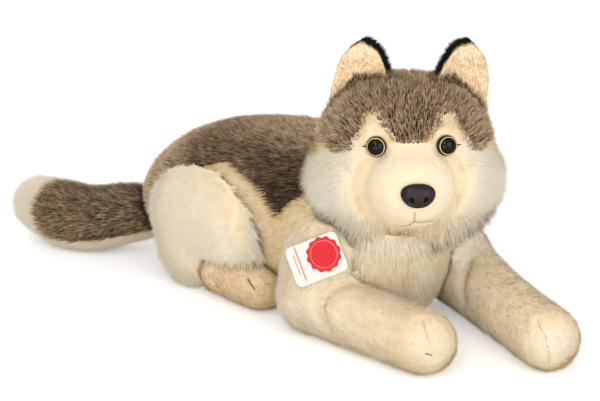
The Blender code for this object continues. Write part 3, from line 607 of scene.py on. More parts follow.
def sow(skin, density, others, seed):  # points spread over the open skin, with the normal there
    data = skin.data
    data.calc_loop_triangles()
    weights = openFaces(skin, others)
    triangles = data.loop_triangles
    corners = np.zeros(len(triangles) * 3, np.int64)
    triangles.foreach_get("vertices", corners)
    corners = corners.reshape(-1, 3)
    owner = np.zeros(len(triangles), np.int64)
    triangles.foreach_get("polygon_index", owner)
    places = placesOf(skin)
    normals = normalsOf(skin)
    a, b, c = (places[corners[:, k]] for k in range(3))
    area = np.linalg.norm(np.cross(b - a, c - a), axis=1) / 2 * weights[owner]
    centres = (a + b + c) / 3
    rate = density(centres) if callable(density) else np.full(len(centres), density)
    share = area * rate
    dice = np.random.default_rng(seed)
    count = int(share.sum() / mm ** 2)
    chosen = dice.choice(len(share), count, p=share / share.sum())
    r1, r2 = np.sqrt(dice.random(count)), dice.random(count)
    w = np.stack((1 - r1, r1 * (1 - r2), r1 * r2), axis=1)[:, :, None]
    roots = (places[corners[chosen]] * w).sum(1)
    upward = unit((normals[corners[chosen]] * w).sum(1))
    return roots, upward, dice


hairLook = {"sunk": 0.5, "lowest": 0.4, "ridge": 0.5, "sideways": 0.35, "tipward": 0.25}


def hairs(name, roots, normals, comb, length, lift, tone, width, dice, material):
    # each hair is a narrow roof of two faces that runs out to a point
    count = len(roots)
    length = length[:, None]
    lift = lift[:, None]
    heading = unit(comb * np.cos(lift) + normals * np.sin(lift))
    across = unit(np.cross(normals, heading))
    over = np.cross(heading, across)
    half = (width * (0.75 + 0.5 * dice.random(count)))[:, None] * mm / 2
    foot = roots - normals * hairLook["sunk"] * mm
    tips = foot + heading * length * mm
    tips[:, 2] = np.maximum(tips[:, 2], hairLook["lowest"] * mm)
    ring = (-across * half, over * half * hairLook["ridge"], across * half)
    parts = [foot + side for side in ring] + [tips]
    bend = across * hairLook["sideways"]
    tipward = heading * hairLook["tipward"]
    shading = [unit(normals - bend), normals, unit(normals + bend), unit(normals + tipward)]
    step = len(parts)
    points = np.stack(parts, axis=1).reshape(-1, 3)
    bends = np.stack(shading, axis=1).reshape(-1, 3)
    pattern = np.array(((1, 0, 3), (2, 1, 3)))
    along = (0, 0, 0, 1)
    sideways = (-0.004, 0.0, 0.004, 0.0)
    faces = (np.arange(count)[:, None, None] * step + pattern[None]).reshape(-1, 3)
    mesh = bpy.data.meshes.new(name)
    mesh.vertices.add(count * step)
    mesh.vertices.foreach_set("co", points.ravel())
    mesh.loops.add(len(faces) * 3)
    mesh.loops.foreach_set("vertex_index", faces.ravel())
    mesh.polygons.add(len(faces))
    mesh.polygons.foreach_set("loop_start", np.arange(len(faces)) * 3)
    mesh.update(calc_edges=True)
    spread = mesh.uv_layers.new(name=pileMap)
    tone = np.clip(tone, 0.01, 0.99)
    u = tone[:, None, None] + np.array(sideways)[pattern][None]
    v = np.broadcast_to(np.array(along, float)[pattern][None], u.shape).copy()
    v = 0.005 + v * 0.99
    spread.uv.foreach_set("vector", np.stack((u, v), axis=3).ravel())
    mesh.shade_smooth()
    mesh.normals_split_custom_set_from_vertices(bends)
    mesh.materials.append(material)
    item = bpy.data.objects.new(name, mesh)
    bpy.context.scene.collection.objects.link(item)
    return item


noseTip = np.array((1.5, -13.0, 66.0))  # in the head's frame, in millimetres


fittingRims = ((eyePlaces["right"], 6.6, 6.6), (eyePlaces["left"], 6.6, 6.6), (nosePlace, 10.6, 7.6))


def keepOffFittings(roots, comb, length, keep):  # short hair combed away round the eyes and the nose
    for place, wide, high in fittingRims:
        here = inFrame(place, roots)
        reach = np.sqrt((here[:, 0] / wide) ** 2 + (here[:, 1] / high) ** 2)
        front = here[:, 2] > -12
        keep &= ~(front & (reach < 1.0))
        near = front & (reach < 1.7)
        share = (1 - between(reach, 1.0, 1.7)) * near
        away = here.copy()
        away[:, 2] = 0
        away = fromFrame(place, unit(away))
        comb += away * share[:, None] * 2.0
        length *= 1 - 0.55 * share
    return comb, length, keep


headPile = {"pad": 2.0, "face": 3.4, "cheek": 6.2, "brow": 1.6, "rim": 14, "rimMiddle": 4, "padTone": 0.84,
            "tone": 0.66, "rimShade": 0.16, "foldShade": 0.3, "browShade": 0.34}


def headComb(roots, normals):
    local = inFrame(headPlace, roots)
    x, y, z = local.T
    beyond = beyondPad(local)
    pad = (1 - between(beyond, -2.5, 0.5)) * between(z, 4, 14)
    brow = between(y, 8, 15) * (1 - pad)
    ruff = between(beyond, 1, 8) * (1 - between(y, 2, 16))
    rim = between(-y, 33, 42) * between(beyond, -2, 3)  # the lower rim, whose hair hangs over the chest
    away = local - noseTip
    away[:, 2] -= 6
    radial = unit(np.stack((x, y + 8, 0 * x), axis=1)) + (0, -0.3, 0.3)
    hanging = np.stack((x * 0.012, -1 + 0 * x, 0.4 + 0 * x), axis=1)
    radial = unit(radial * (1 - rim)[:, None] + hanging * rim[:, None])
    comb = fromFrame(headPlace, unit(away) * (1 - ruff)[:, None] + radial * ruff[:, None])
    cheek = between(beyond, 3, 26) * (1 - between(y, 6, 20))
    length = (1 - pad) * (headPile["face"] + headPile["cheek"] * cheek + headPile["brow"] * brow)
    length = length + headPile["pad"] * pad
    hang = headPile["rim"] + headPile["rimMiddle"] * (1 - between(np.abs(x), 16, 34))
    length = length * (1 - rim) + hang * rim
    lean = np.arcsin(np.clip((unit(comb) * normals).sum(1), -1, 1))
    lift = np.radians(20 + 6 * (1 - pad) + 4 * brow) * (1 - ruff)
    lift = lift + np.clip(lean, math.radians(16), np.radians(36 + 26 * rim)) * ruff
    # painted shade: the hair darkens in the fold round the muzzle pad
    fold = np.exp(-((beyond - 1.2) / 2.0) ** 2) * (1 - between(y, -2, 8)) * between(z, 2, 12)
    fold *= 1 - 0.6 * between(-y, 22, 34)
    # painted shade: the lower rim, whose hair hangs over the chest, is darker
    offPad = headPile["tone"] - headPile["rimShade"] * between(-y, 34, 46)
    tone = headPile["padTone"] * pad + (1 - pad) * offPad
    # painted shade: the brows under the crown panel are darker
    tone = tone - headPile["foldShade"] * fold - headPile["browShade"] * brow
    keep = np.ones(len(roots), bool)
    comb, length, keep = keepOffFittings(roots, comb, length, keep)
    return comb, length, lift, tone, keep


def evenly(roots, value):  # the same value for every hair
    return np.full(len(roots), value)


crownPile = {"length": 4.6, "longer": 2.4, "lift": 34, "tone": 0.64, "besideLonger": 2.0, "besideLift": 22}


def crownComb(roots, normals):
    local = inFrame(headPlace, roots)
    comb, length, lift, tone, keep = headComb(roots, normals)
    reach = np.linalg.norm(local - noseTip, axis=1)
    length = crownPile["length"] + crownPile["longer"] * between(reach, 50, 90)
    toEar = np.minimum(distanceTo("ear_lining_right", roots), distanceTo("ear_lining_left", roots)) * 1000
    beside = 1 - between(toEar, 2, 6)  # it stands up beside the ears and hides their roots
    upward = fromFrame(headPlace, np.tile((0.0, 1.0, 0.2), (len(roots), 1)))
    comb = comb * (1 - beside)[:, None] + upward * beside[:, None]
    length = length + crownPile["besideLonger"] * beside
    tone = crownPile["tone"] + 0.2 * between(np.abs(local[:, 0]), 26, 40)
    return comb, length, np.radians(crownPile["lift"] + crownPile["besideLift"] * beside), tone, keep


bodyPile = {"length": 5.5, "chest": 2.0, "bib": 4.5, "lift": 28, "bibLift": 14, "tone": 0.34}
saddlePile = {"length": 7.0, "lift": 36, "tone": 0.38, "topLitPaler": 0.72, "rearPaler": 0.6, "lowShade": 0.34}


def bodyComb(roots, normals):
    x, y, z = (roots * 1000).T
    chest = between(x, 55, 95)
    comb = np.stack((-1 + 1.15 * chest, 0 * x, -0.45 - 0.7 * chest), axis=1)
    bib = between(x, 88, 102) * between(z, 58, 66)
    length = bodyPile["length"] + bodyPile["chest"] * chest + bodyPile["bib"] * bib
    tone = bodyPile["tone"] - 0.06 * between(x, -10, 40) * (1 - chest) + 0.1 * chest + 0.12 * bib
    lift = np.radians(bodyPile["lift"] + bodyPile["bibLift"] * bib)
    return comb, length, lift, tone, np.ones(len(roots), bool)


def saddleComb(roots, normals):
    comb, _, _, _, keep = bodyComb(roots, normals)
    x, y, z = (roots * 1000).T
    # the top is paler, partly the pale tips that show along it and partly painted light
    tone = saddlePile["tone"] + saddlePile["topLitPaler"] * between(z, 100, 126)
    tone += saddlePile["rearPaler"] * between(-x, 46, 84)
    # painted shade: the saddle is darker low at the front, under the head
    tone -= saddlePile["lowShade"] * between(x, -10, 36) * (1 - between(z, 88, 118))
    lift = evenly(roots, math.radians(saddlePile["lift"]))
    return comb, evenly(roots, saddlePile["length"]), lift, tone, keep


legPile = {"length": 5.4, "lift": 29, "tone": 0.6}


def legComb(angle, shoulderX, paintedLight):
    def field(roots, normals):
        x, y, z = (roots * 1000).T
        ahead = np.array((math.cos(math.radians(angle)), math.sin(math.radians(angle)), 0.0))
        forearm = between(x, shoulderX, shoulderX + 25) * (1 - between(z, 48, 62))
        comb = ahead * (0.35 + 0.65 * forearm)[:, None]
        comb[:, 2] -= 0.25 + 0.6 * (1 - forearm)
        length = legPile["length"] - 1.0 * between(x, shoulderX + 90, shoulderX + 120)
        # paintedLight is painted light: it raises the tone of a leg that lies more in shade
        tone = legPile["tone"] + paintedLight - 0.1 * (1 - between(z, 6, 22))
        tone -= 0.1 * between(x, shoulderX + 60, shoulderX + 110)
        return comb, length, evenly(roots, math.radians(legPile["lift"])), tone, np.ones(len(x), bool)
    return field


thighFold = ((-31.6, 86.2), (-24.2, 85.0), (-17.5, 82.9), (-11.5, 78.2), (-5.8, 72.4), (-0.2, 62.0),
             (3.5, 53.1),
             (6.6, 44.9))


thighPile = {"length": 4.8, "rim": 3.2, "lift": 22, "rimLift": 22, "tone": 0.6, "foldShade": 0.12}


def thighComb(roots, normals):  # behind a soft fold the pile runs back, ahead of it out to the rim
    x, y, z = (roots * 1000).T
    far = toLine(np.stack((x, z), axis=1), thighFold)
    fold = np.array(thighFold)[::-1]
    ahead = between(x - np.interp(z, fold[:, 1], fold[:, 0]), -3, 3)
    outward = unit(np.stack((x + 34, 0 * x, z - 56), axis=1))
    outward[:, 2] -= 0.5
    backward = np.stack((-0.7 + 0 * x, 0 * x, -0.9 + 0 * x), axis=1)
    comb = outward * ahead[:, None] + backward * (1 - ahead)[:, None]
    rim = between(np.hypot(x + 34, z - 56), 34, 46)
    length = thighPile["length"] + 1.0 * ahead + thighPile["rim"] * rim
    lift = np.radians(thighPile["lift"] + 6 * ahead + thighPile["rimLift"] * rim)
    feet = (trees["hind_foot_right"], trees["hind_foot_left"])
    nearest = [min((foot.find_nearest(Vector(p)) for foot in feet), key=lambda hit: hit[3]) for p in roots]
    # it leans over the edge of the foot
    beside = 1 - between(np.array([hit[3] for hit in nearest]) * 1000, 2, 6)
    toFoot = unit(np.array([tuple(hit[0]) for hit in nearest]) - roots)
    comb = comb * (1 - beside)[:, None] + toFoot * beside[:, None]
    length, lift = length + 2.5 * beside, lift + np.radians(16) * beside
    # painted shade: the hair darkens along the soft fold of the thigh
    tone = thighPile["tone"] - thighPile["foldShade"] * np.exp(-(far / 4.0) ** 2)
    tone = tone - 0.1 * (1 - between(z, 14, 40))
    return comb, length, lift, tone, np.ones(len(x), bool)


footPile = {"length": 4.6, "lift": 26, "tone": 0.24}


def footComb(roots, normals):
    x, y, z = (roots * 1000).T
    comb = np.stack((1 + 0 * x, 0 * x, -0.25 + 0 * x), axis=1)
    length, tone = evenly(roots, footPile["length"]), evenly(roots, footPile["tone"])
    return comb, length, evenly(roots, math.radians(footPile["lift"])), tone, np.ones(len(x), bool)


tailPile = {"length": 6.5, "tipLonger": 2.0, "lift": 28, "tone": 0.62}


def tailComb(roots, normals):
    x, y, z = (roots * 1000).T
    comb = np.stack((-1 + 0 * x, -0.8 + 0.7 * between(-x, 130, 175), -0.12 + 0 * x), axis=1)
    length = tailPile["length"] + tailPile["tipLonger"] * between(-x, 150, 190)
    lift, tone = evenly(roots, math.radians(tailPile["lift"])), evenly(roots, tailPile["tone"])
    return comb, length, lift, tone, np.ones(len(x), bool)


def tailStripeComb(roots, normals):
    comb, length, lift, tone, keep = tailComb(roots, normals)
    return comb, length + 0.5, lift + math.radians(6), tone - 0.12, keep


earPile = {"length": 3.2, "lift": 22, "tone": 0.1}
earBackPile = {"length": 1.2, "edgeLonger": 2.4, "lift": 30, "tone": 0.4}


def earComb(roots, normals):
    local = inFrame(headPlace, roots)
    count = len(roots)
    comb = fromFrame(headPlace, np.tile((0.0, 1.0, 0.0), (count, 1)))
    length = earPile["length"] - 0.8 * between(local[:, 1], 50, 68)
    lift, tone = evenly(roots, math.radians(earPile["lift"])), evenly(roots, earPile["tone"])
    return comb, length, lift, tone, np.ones(count, bool)


def earBackComb(roots, normals):
    local = inFrame(headPlace, roots)  # long on the inner edge and the tip, where it shows from the front
    inner = np.maximum(1 - between(np.abs(local[:, 0]), 26, 38), between(local[:, 1], 58, 66))
    comb = np.stack((-np.sign(local[:, 0]) * 0.9 * inner, 0.8 + 0 * inner, 0.3 * inner), axis=1)
    length = earBackPile["length"] + earBackPile["edgeLonger"] * inner
    lift, tone = evenly(roots, math.radians(earBackPile["lift"])), evenly(roots, earBackPile["tone"])
    return fromFrame(headPlace, comb), length, lift, tone, np.ones(len(roots), bool)


def earBaseComb(roots, normals):
    comb, length, lift, tone, keep = earComb(roots, normals)
    return comb, length + 2.6, lift + math.radians(4), tone + 0.35, keep


def underTag(roots, heading, length):  # hair under the tag is no longer than the room it has there
    local = inFrame(tagPlace, roots)
    tip = inFrame(tagPlace, roots + heading * length[:, None] * mm)
    covered = (np.abs(tip[:, 0]) < 18.5) & (np.abs(tip[:, 1]) < 14) & (tip[:, 2] > -0.6)
    covered &= (local[:, 2] < 1) & (local[:, 2] > -25)
    room = np.clip((-0.8 - local[:, 2]) / np.maximum(tip[:, 2] - local[:, 2], 0.1), 0, 1)
    return np.where(covered, length * room, length)


def headDensity(points):  # the short pile of the muzzle is thicker set
    beyond = beyondPad(inFrame(headPlace, points))
    return 3.4 - 1.7 * between(beyond, -3, 8)


furLooks = {
    "cream": {"perSquareMm": 1.7, "width": 0.5, "tangle": 0.22, "liftSpread": 0.07, "toneSpread": 0.07},
    "muzzle": {"perSquareMm": headDensity, "width": 0.42, "tangle": 0.2, "liftSpread": 0.06,
               "toneSpread": 0.05},
    "leg": {"perSquareMm": 1.7, "width": 0.5, "tangle": 0.24, "liftSpread": 0.09, "toneSpread": 0.07},
    "brown": {"perSquareMm": 1.5, "width": 0.52, "tangle": 0.3, "liftSpread": 0.12, "toneSpread": 0.16},
    "ear": {"perSquareMm": 2.2, "width": 0.4, "tangle": 0.2, "liftSpread": 0.07, "toneSpread": 0.06},
    "earBase": {"perSquareMm": 4.0, "width": 0.52, "tangle": 0.3, "liftSpread": 0.12, "toneSpread": 0.16},
    "earBack": {"perSquareMm": 2.2, "width": 0.4, "tangle": 0.2, "liftSpread": 0.07, "toneSpread": 0.06},
}
finishes = {
    "cream": ("cream_fur", creamPile),
    "muzzle": ("cream_fur", creamPile),
    "leg": ("cream_fur", creamPile),
    "brown": ("brown_fur", brownPile),
    "ear": ("ear_lining", creamPile),
    "earBase": ("brown_fur", brownPile),
    "earBack": ("black_fur", blackPile),
}
panelShadeLook = {"head": 0.36, "elsewhere": 0.16, "from": 0.5, "reach": 6.0}  # painted shade: darker cream beside a dark panel


def overlap(skin, roots):  # how far the dark pile lies over its panel's edge, in millimetres
    if skin == "headSkin":  # it hangs over the temples and rounds the tops of the brows
        x, y, z = inFrame(headPlace, roots).T
        temple = np.exp(-((np.abs(x) - 37) / 8) ** 2) * between(y, 2, 8)
        brow = np.exp(-((np.abs(x) - 20) / 9) ** 2) * between(y, 16, 22)
        return 4.0 * np.maximum(temple, brow)
    if "Lining" in skin:  # a small tuft climbs the middle of each ear
        x = inFrame(headPlace, roots)[:, 0]
        return 2.5 * np.exp(-((np.abs(x) - 31) / 6) ** 2)
    return np.zeros(len(roots))


def growFur(name, skin, field, zone, others, kind, seed):
    look = furLooks[kind]
    slot, pile = finishes[kind]
    roots, normals, dice = sow(skins[skin], look["perSquareMm"], others, seed)
    panelShade = 0
    if zone is not None:  # only hairs rooted in the panel's part of the skin, or only those outside it
        panel, carrier, within = zone
        toPanel = distanceTo(panel, roots)
        toCarrier = distanceTo(carrier, roots) if isinstance(carrier, str) else carrier * mm
        pick = (toPanel < toCarrier + overlap(skin, roots) * mm) == within
        roots, normals, toPanel = roots[pick], normals[pick], toPanel[pick]
        if not within:
            # painted shade on the cream beside the dark panel
            darker = panelShadeLook["head" if skin == "headSkin" else "elsewhere"]
            panelShade = darker * (1 - between(toPanel * 1000, panelShadeLook["from"], panelShadeLook["reach"]))
    comb, length, lift, tone, keep = field(roots, normals)
    comb = onSurface(comb, normals)
    tangle = look["tangle"]
    comb = comb + (cloudyVectors(roots, 7 * mm, seed) + cloudyVectors(roots, 2.2 * mm, seed + 5)) * tangle
    comb = onSurface(comb + dice.normal(0, 0.08, comb.shape), normals)
    length = length * (0.8 + 0.35 * dice.random(len(length))) * (1 + 0.1 * cloudy(roots, 9 * mm, seed + 9))
    spread = look["liftSpread"]
    lift = lift + cloudy(roots, 3 * mm, seed + 11) * spread * 1.5 + dice.normal(0, spread, len(lift))
    lift = np.clip(lift, 0.1, 1.35)
    spread = look["toneSpread"]
    tone = tone - panelShade + cloudy(roots, 14 * mm, seed + 3) * 0.05
    tone = tone + cloudy(roots, 2.4 * mm, seed + 4) * spread * 1.5
    tone = tone + dice.normal(0, spread, len(tone))
    # the hair is shorter and darker along the seams; along the creases the darkening is painted shade
    for seam in seams.get(skin, ()):
        share = np.exp(-(toLine(roots * 1000, seam["line"]) / seam["half"]) ** 2)
        length = length * (1 - 0.7 * share)
        tone = tone - seam["darker"] * share
    heading = comb * np.cos(lift)[:, None] + normals * np.sin(lift)[:, None]
    length = underTag(roots, heading, length)
    pick = keep & (length > 0.5)
    item = hairs(name, roots[pick], normals[pick], comb[pick], length[pick], lift[pick], tone[pick],
                 look["width"], dice, pile)
    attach(item, "root")
    print("  ", name, int(pick.sum()), "hairs", len(item.data.polygons), "triangles")


print("fur")
legs = ("foreleg_right", "foreleg_left", "thigh_right", "thigh_left", "hind_foot_right", "hind_foot_left")
furPieces = (
    ("body", "body", bodyComb, ("saddle_panel", "torso", False), ("head", "tail") + legs, "cream"),
    ("saddle", "body", saddleComb, ("saddle_panel", "torso", True), ("head", "tail") + legs, "brown"),
    ("head", "head", headComb, ("crown_panel", "head", False), ("torso",), "muzzle"),
    ("crown", "head", crownComb, ("crown_panel", "head", True), ("torso", "saddle_panel"), "brown"),
    ("forelegRight", "forelegRight", legComb(-4, 45, 0.0), None, ("torso", "head"), "leg"),
    # the far leg is painted paler, as painted light against its shade
    ("forelegLeft", "forelegLeft", legComb(-26, 60, 0.14), None, ("torso", "head"), "leg"),
    ("thighRight", "thighRight", thighComb, None, ("torso", "hind_foot_right", "foreleg_right"), "cream"),
    ("thighLeft", "thighLeft", thighComb, None, ("torso", "hind_foot_left", "foreleg_left"), "cream"),
    ("hindFootRight", "hindFootRight", footComb, None, ("torso", "thigh_right", "foreleg_right"), "leg"),
    ("hindFootLeft", "hindFootLeft", footComb, None, ("torso", "thigh_left", "foreleg_left"), "leg"),
    ("tail", "tail", tailComb, ("tail_panel", "tail", False), ("torso", "thigh_right"), "cream"),
    ("tailStripe", "tail", tailStripeComb, ("tail_panel", "tail", True), ("torso", "thigh_right"), "brown"),
)
for number, (name, skin, field, zone, others, kind) in enumerate(furPieces):
    growFur(name + "Fur", skin + "Skin", field, zone, others, kind, 11 + number)
for number, side in enumerate(("Right", "Left")):
    ear, under = "ear" + side, ("head", "crown_panel")
    growFur(ear + "Fur", ear + "Lining", earComb, ("crown_panel", 1.5, False), under, "ear", 23 + number)
    growFur(ear + "BaseFur", ear + "Lining", earBaseComb, ("crown_panel", 1.5, True), under, "earBase",
            25 + number)
    growFur(ear + "BackFur", ear + "Back", earBackComb, None, under, "earBack", 27 + number)


# Eyes: a black dome with a thin golden ring near its rim, and a pointed corner on the outer side

eyeLook = {"radius": 6.5, "dome": 5.0, "rim": 1.0, "ring": 5.3, "ringHalf": 0.34, "cornerLength": 4.4,
           "cornerHalf": 0.85}


def speckled(name, dark, pale, scale, roughness, shine=0.4):  # a hard material with a faint grain
    material, made, links = newMaterial(name)
    shader = made["Principled BSDF"]
    shader.inputs["Roughness"].default_value = roughness
    shader.inputs["Specular IOR Level"].default_value = shine
    noise = made.new("ShaderNodeTexNoise")
    noise.inputs["Scale"].default_value = scale
    coordinates = made.new("ShaderNodeTexCoord")
    links.new(coordinates.outputs["Object"], noise.inputs["Vector"])
    tone = ramp(made, ((0.3, dark), (0.7, pale)))
    links.new(noise.outputs["Fac"], tone.inputs["Fac"])
    links.new(tone.outputs["Color"], shader.inputs["Base Color"])
    return material


eyeBlack = speckled("eyeBlack", (0.02, 0.02, 0.02), (0.05, 0.045, 0.045), 900, 0.04, 0.22)
eyeGold = speckled("eyeGold", (0.82, 0.68, 0.36), (0.95, 0.85, 0.56), 700, 0.25)
cornerBlack = speckled("cornerBlack", (0.04, 0.035, 0.03), (0.09, 0.08, 0.075), 700, 0.8)
eyeGold.node_tree.nodes["Principled BSDF"].inputs["Metallic"].default_value = 0.3


def makeEye(label, side):
    radius = eyeLook["radius"] * mm
    bpy.ops.object.select_all(action="DESELECT")
    bpy.ops.mesh.primitive_uv_sphere_add(segments=48, ring_count=24, radius=radius)
    eye = bpy.context.object
    eye.name = "eye" + label.capitalize()
    bpy.ops.object.mode_set(mode="EDIT")
    bpy.ops.mesh.select_all(action="SELECT")
    bpy.ops.mesh.bisect(plane_co=(0, 0, 0), plane_no=(0, 0, 1), clear_inner=True, use_fill=True)
    bpy.ops.object.mode_set(mode="OBJECT")
    eye.data.transform(Matrix.Diagonal((1, 1, eyeLook["dome"] / eyeLook["radius"], 1)))
    built = bmesh.new()
    built.from_mesh(eye.data)
    base = [face for face in built.faces if len(face.verts) > 6]
    made = bmesh.ops.extrude_face_region(built, geom=base)
    low = [item for item in made["geom"] if isinstance(item, bmesh.types.BMVert)]
    bmesh.ops.translate(built, verts=low, vec=(0, 0, -eyeLook["rim"] * mm))
    bmesh.ops.delete(built, geom=base, context="FACES_ONLY")
    bmesh.ops.recalc_face_normals(built, faces=built.faces)
    built.to_mesh(eye.data)
    built.free()
    eye.data.materials.append(eyeBlack)
    selectOnly(eye)
    bpy.ops.object.shade_smooth_by_angle(angle=math.radians(50))
    ring = eyeLook["ring"] * mm
    height = math.sqrt(1 - (ring / radius) ** 2) * eyeLook["dome"] * mm
    bpy.ops.mesh.primitive_torus_add(major_segments=64, minor_segments=10, major_radius=ring,
                                     minor_radius=eyeLook["ringHalf"] * mm)
    gold = bpy.context.object
    gold.name = "eyeRing" + label.capitalize()
    gold.data.transform(Matrix.Translation((0, 0, height - 0.16 * mm)))
    gold.data.materials.append(eyeGold)
    bpy.ops.object.shade_smooth()
    bpy.ops.mesh.primitive_cone_add(vertices=16, radius1=eyeLook["cornerHalf"] * mm, radius2=0,
                                    depth=eyeLook["cornerLength"] * mm)
    corner = bpy.context.object
    corner.name = "eyeCorner" + label.capitalize()
    reach = radius + (eyeLook["cornerLength"] / 2 - 1.2) * mm
    turned = Matrix.Rotation(side * math.pi / 2, 4, "Y")
    corner.data.transform(Matrix.Translation((side * reach, 0, 0.9 * mm)) @ turned)
    corner.data.materials.append(cornerBlack)
    bpy.ops.object.shade_smooth()
    for item in (eye, gold, corner):
        placeMesh(item, eyePlaces[label])
        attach(item, "root")
    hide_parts("eye_" + label)


print("eyes and nose")
makeEye("right", -1)
makeEye("left", 1)


# Nose: satin plastic with a dark rolled edge, two nostrils and a groove under them; the edge and the nostrils
# are near-black, partly their own dark and partly painted shade

noseLook = {"voxel": 0.4, "smooth": 4, "nostril": (4.5, -2.0), "nostrilRadius": 1.35, "nostrilDepth": 1.4,
            "wingHalf": 0.75, "wingDepth": 1.2, "grooveHalf": 0.6, "grooveDepth": 0.9}
wingLine = ((3.4, -4.6, 0), (5.6, -4.2, 0), (6.9, -2.9, 0), (8.4, -2.6, 0), (10.5, -3.4, 0))


def makeNose():
    nose = mergedCopy("noseTip", ("nose",))
    applyModifier(nose, "REMESH", mode="VOXEL", voxel_size=noseLook["voxel"] * mm)
    applyModifier(nose, "SMOOTH", factor=0.5, iterations=noseLook["smooth"])
    local = inFrame(nosePlace, placesOf(nose))
    front = between(local[:, 2], 0.5, 2.0)
    flat = np.stack((np.abs(local[:, 0]), local[:, 1], 0 * local[:, 0]), axis=1)
    hole = np.hypot(flat[:, 0] - noseLook["nostril"][0], (flat[:, 1] - noseLook["nostril"][1]) * 0.9)
    depth = noseLook["nostrilDepth"] * np.exp(-(hole / noseLook["nostrilRadius"]) ** 4)
    depth += noseLook["wingDepth"] * np.exp(-(toLine(flat, wingLine) / noseLook["wingHalf"]) ** 2)
    groove = np.exp(-(flat[:, 0] / noseLook["grooveHalf"]) ** 2) * (1 - between(local[:, 1], -4.5, -2.5))
    depth += noseLook["grooveDepth"] * groove
    local[:, 2] -= depth * front
    setPlaces(nose, outOfFrame(nosePlace, local))
    satin = speckled("noseSatin", (0.10, 0.062, 0.072), (0.165, 0.11, 0.125), 1500, 0.36, 0.3)
    edge = speckled("noseEdgeShade", (0.03, 0.022, 0.024), (0.06, 0.045, 0.05), 1500, 0.5, 0.2)
    nose.data.materials.append(satin)
    nose.data.materials.append(edge)
    ahead = Vector(nosePlace.col[2][:3])
    for face in nose.data.polygons:
        here = nosePlace.inverted() @ face.center * 1000
        inHole = math.hypot(abs(here.x) - noseLook["nostril"][0], here.y - noseLook["nostril"][1]) < 1.2
        # the rolled edge and the nostrils take the near-black finish, partly their own colour and partly
        # painted shade
        face.material_index = 1 if inHole or face.normal.dot(ahead) < 0.6 else 0
    nose.data.shade_smooth()
    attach(nose, "root")
    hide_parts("nose")


makeNose()


# Threads of the mouth, of the toes and of the hind feet


def makeThread(name, skin, line, radius, raised, material):
    data = bpy.data.curves.new(name, "CURVE")
    data.dimensions = "3D"
    data.bevel_depth = radius * mm
    data.bevel_resolution = 2
    data.use_fill_caps = True
    spline = data.splines.new("BEZIER")
    spline.bezier_points.add(len(line) - 1)
    built = bmesh.new()
    built.from_mesh(skins[skin].data)
    tree = BVHTree.FromBMesh(built)
    built.free()
    for knot, point in zip(spline.bezier_points, line):
        place, normal = tree.find_nearest(Vector(point) * mm)[:2]
        knot.co = place + normal * raised * mm
        knot.handle_left_type = knot.handle_right_type = "AUTO"
    thread = bpy.data.objects.new(name, data)
    bpy.context.scene.collection.objects.link(thread)
    selectOnly(thread)
    bpy.ops.object.convert(target="MESH")
    thread = bpy.context.object
    thread.data.materials.clear()
    thread.data.materials.append(material)
    bpy.ops.object.shade_smooth()
    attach(thread, "root")


print("threads")
tanThread = speckled("tanThread", (0.70, 0.55, 0.38), (0.80, 0.66, 0.48), 1200, 0.85, 0.1)
brownThread = speckled("brownThread", (0.36, 0.27, 0.19), (0.48, 0.38, 0.28), 1200, 0.85, 0.1)
makeThread("lipThread", "headSkin", fromHead(*lipLine), 0.22, 0.35, tanThread)
makeThread("mouthRightThread", "headSkin", fromHead(*mouthRightLine), 0.22, 0.35, tanThread)
makeThread("mouthLeftThread", "headSkin", fromHead(*mouthLeftLine), 0.22, 0.35, tanThread)
makeThread("nearToeThread", "forelegRightSkin", nearToeLine, 0.25, 0.1, tanThread)
makeThread("nearStitchThread", "forelegRightSkin", nearStitchLine[:3], 0.38, 0.6, brownThread)
makeThread("farToeThread", "forelegLeftSkin", farToeLine, 0.25, 0.1, tanThread)
makeThread("hindRightThread", "hindFootRightSkin", hindStitchLine, 0.4, 0.8, brownThread)
makeThread("hindLeftThread", "hindFootLeftSkin", otherSide(hindStitchLine), 0.4, 0.8, brownThread)


# Tag: a folded card with a plain scalloped seal, a red line and a grey one

tagLook = {"front": 2.0, "lift": 0.03, "print": 0.05, "seal": (5.6, 1.3), "sealRadius": 11.0, "scallop": 0.55,
           "scallops": 12, "ring": 8.6, "ringHalf": 0.22}


def placePrint(item, material):
    item.data.materials.clear()
    item.data.materials.append(material)
    height = tagLook["front"] + tagLook["lift"] + tagLook["print"] / 2
    item.data.transform(Matrix.Translation((0, 0, height * mm)))
    placeMesh(item, tagPlace)
    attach(item, "root")


def makeSheet(name, outline, holes=()):  # a thin closed sheet from an outline in millimetres, with holes
    built = bmesh.new()
    edges = []
    for ring in (outline, *holes):
        corners = [built.verts.new((x * mm, y * mm, -tagLook["print"] / 2 * mm)) for x, y in ring]
        edges += [built.edges.new((a, b)) for a, b in zip(corners, corners[1:] + corners[:1])]
    faces = bmesh.ops.triangle_fill(built, edges=edges, use_beauty=True)["geom"]
    faces = [item for item in faces if isinstance(item, bmesh.types.BMFace)]
    raised = bmesh.ops.extrude_face_region(built, geom=faces, use_keep_orig=True)["geom"]
    raised = [item for item in raised if isinstance(item, bmesh.types.BMVert)]
    bmesh.ops.translate(built, verts=raised, vec=(0, 0, tagLook["print"] * mm))
    bmesh.ops.recalc_face_normals(built, faces=built.faces)
    data = bpy.data.meshes.new(name)
    built.to_mesh(data)
    built.free()
    item = bpy.data.objects.new(name, data)
    bpy.context.scene.collection.objects.link(item)
    return item


def circle(centre, radius, steps, wave=0.0, waves=0):
    made = []
    for k in range(steps):
        angle = 2 * math.pi * k / steps
        reach = radius + wave * math.cos(waves * angle)
        made.append((centre[0] + reach * math.cos(angle), centre[1] + reach * math.sin(angle)))
    return made


def strip(x, low, high, half):
    return [(x - half, low), (x + half, low), (x + half, high), (x - half, high)]


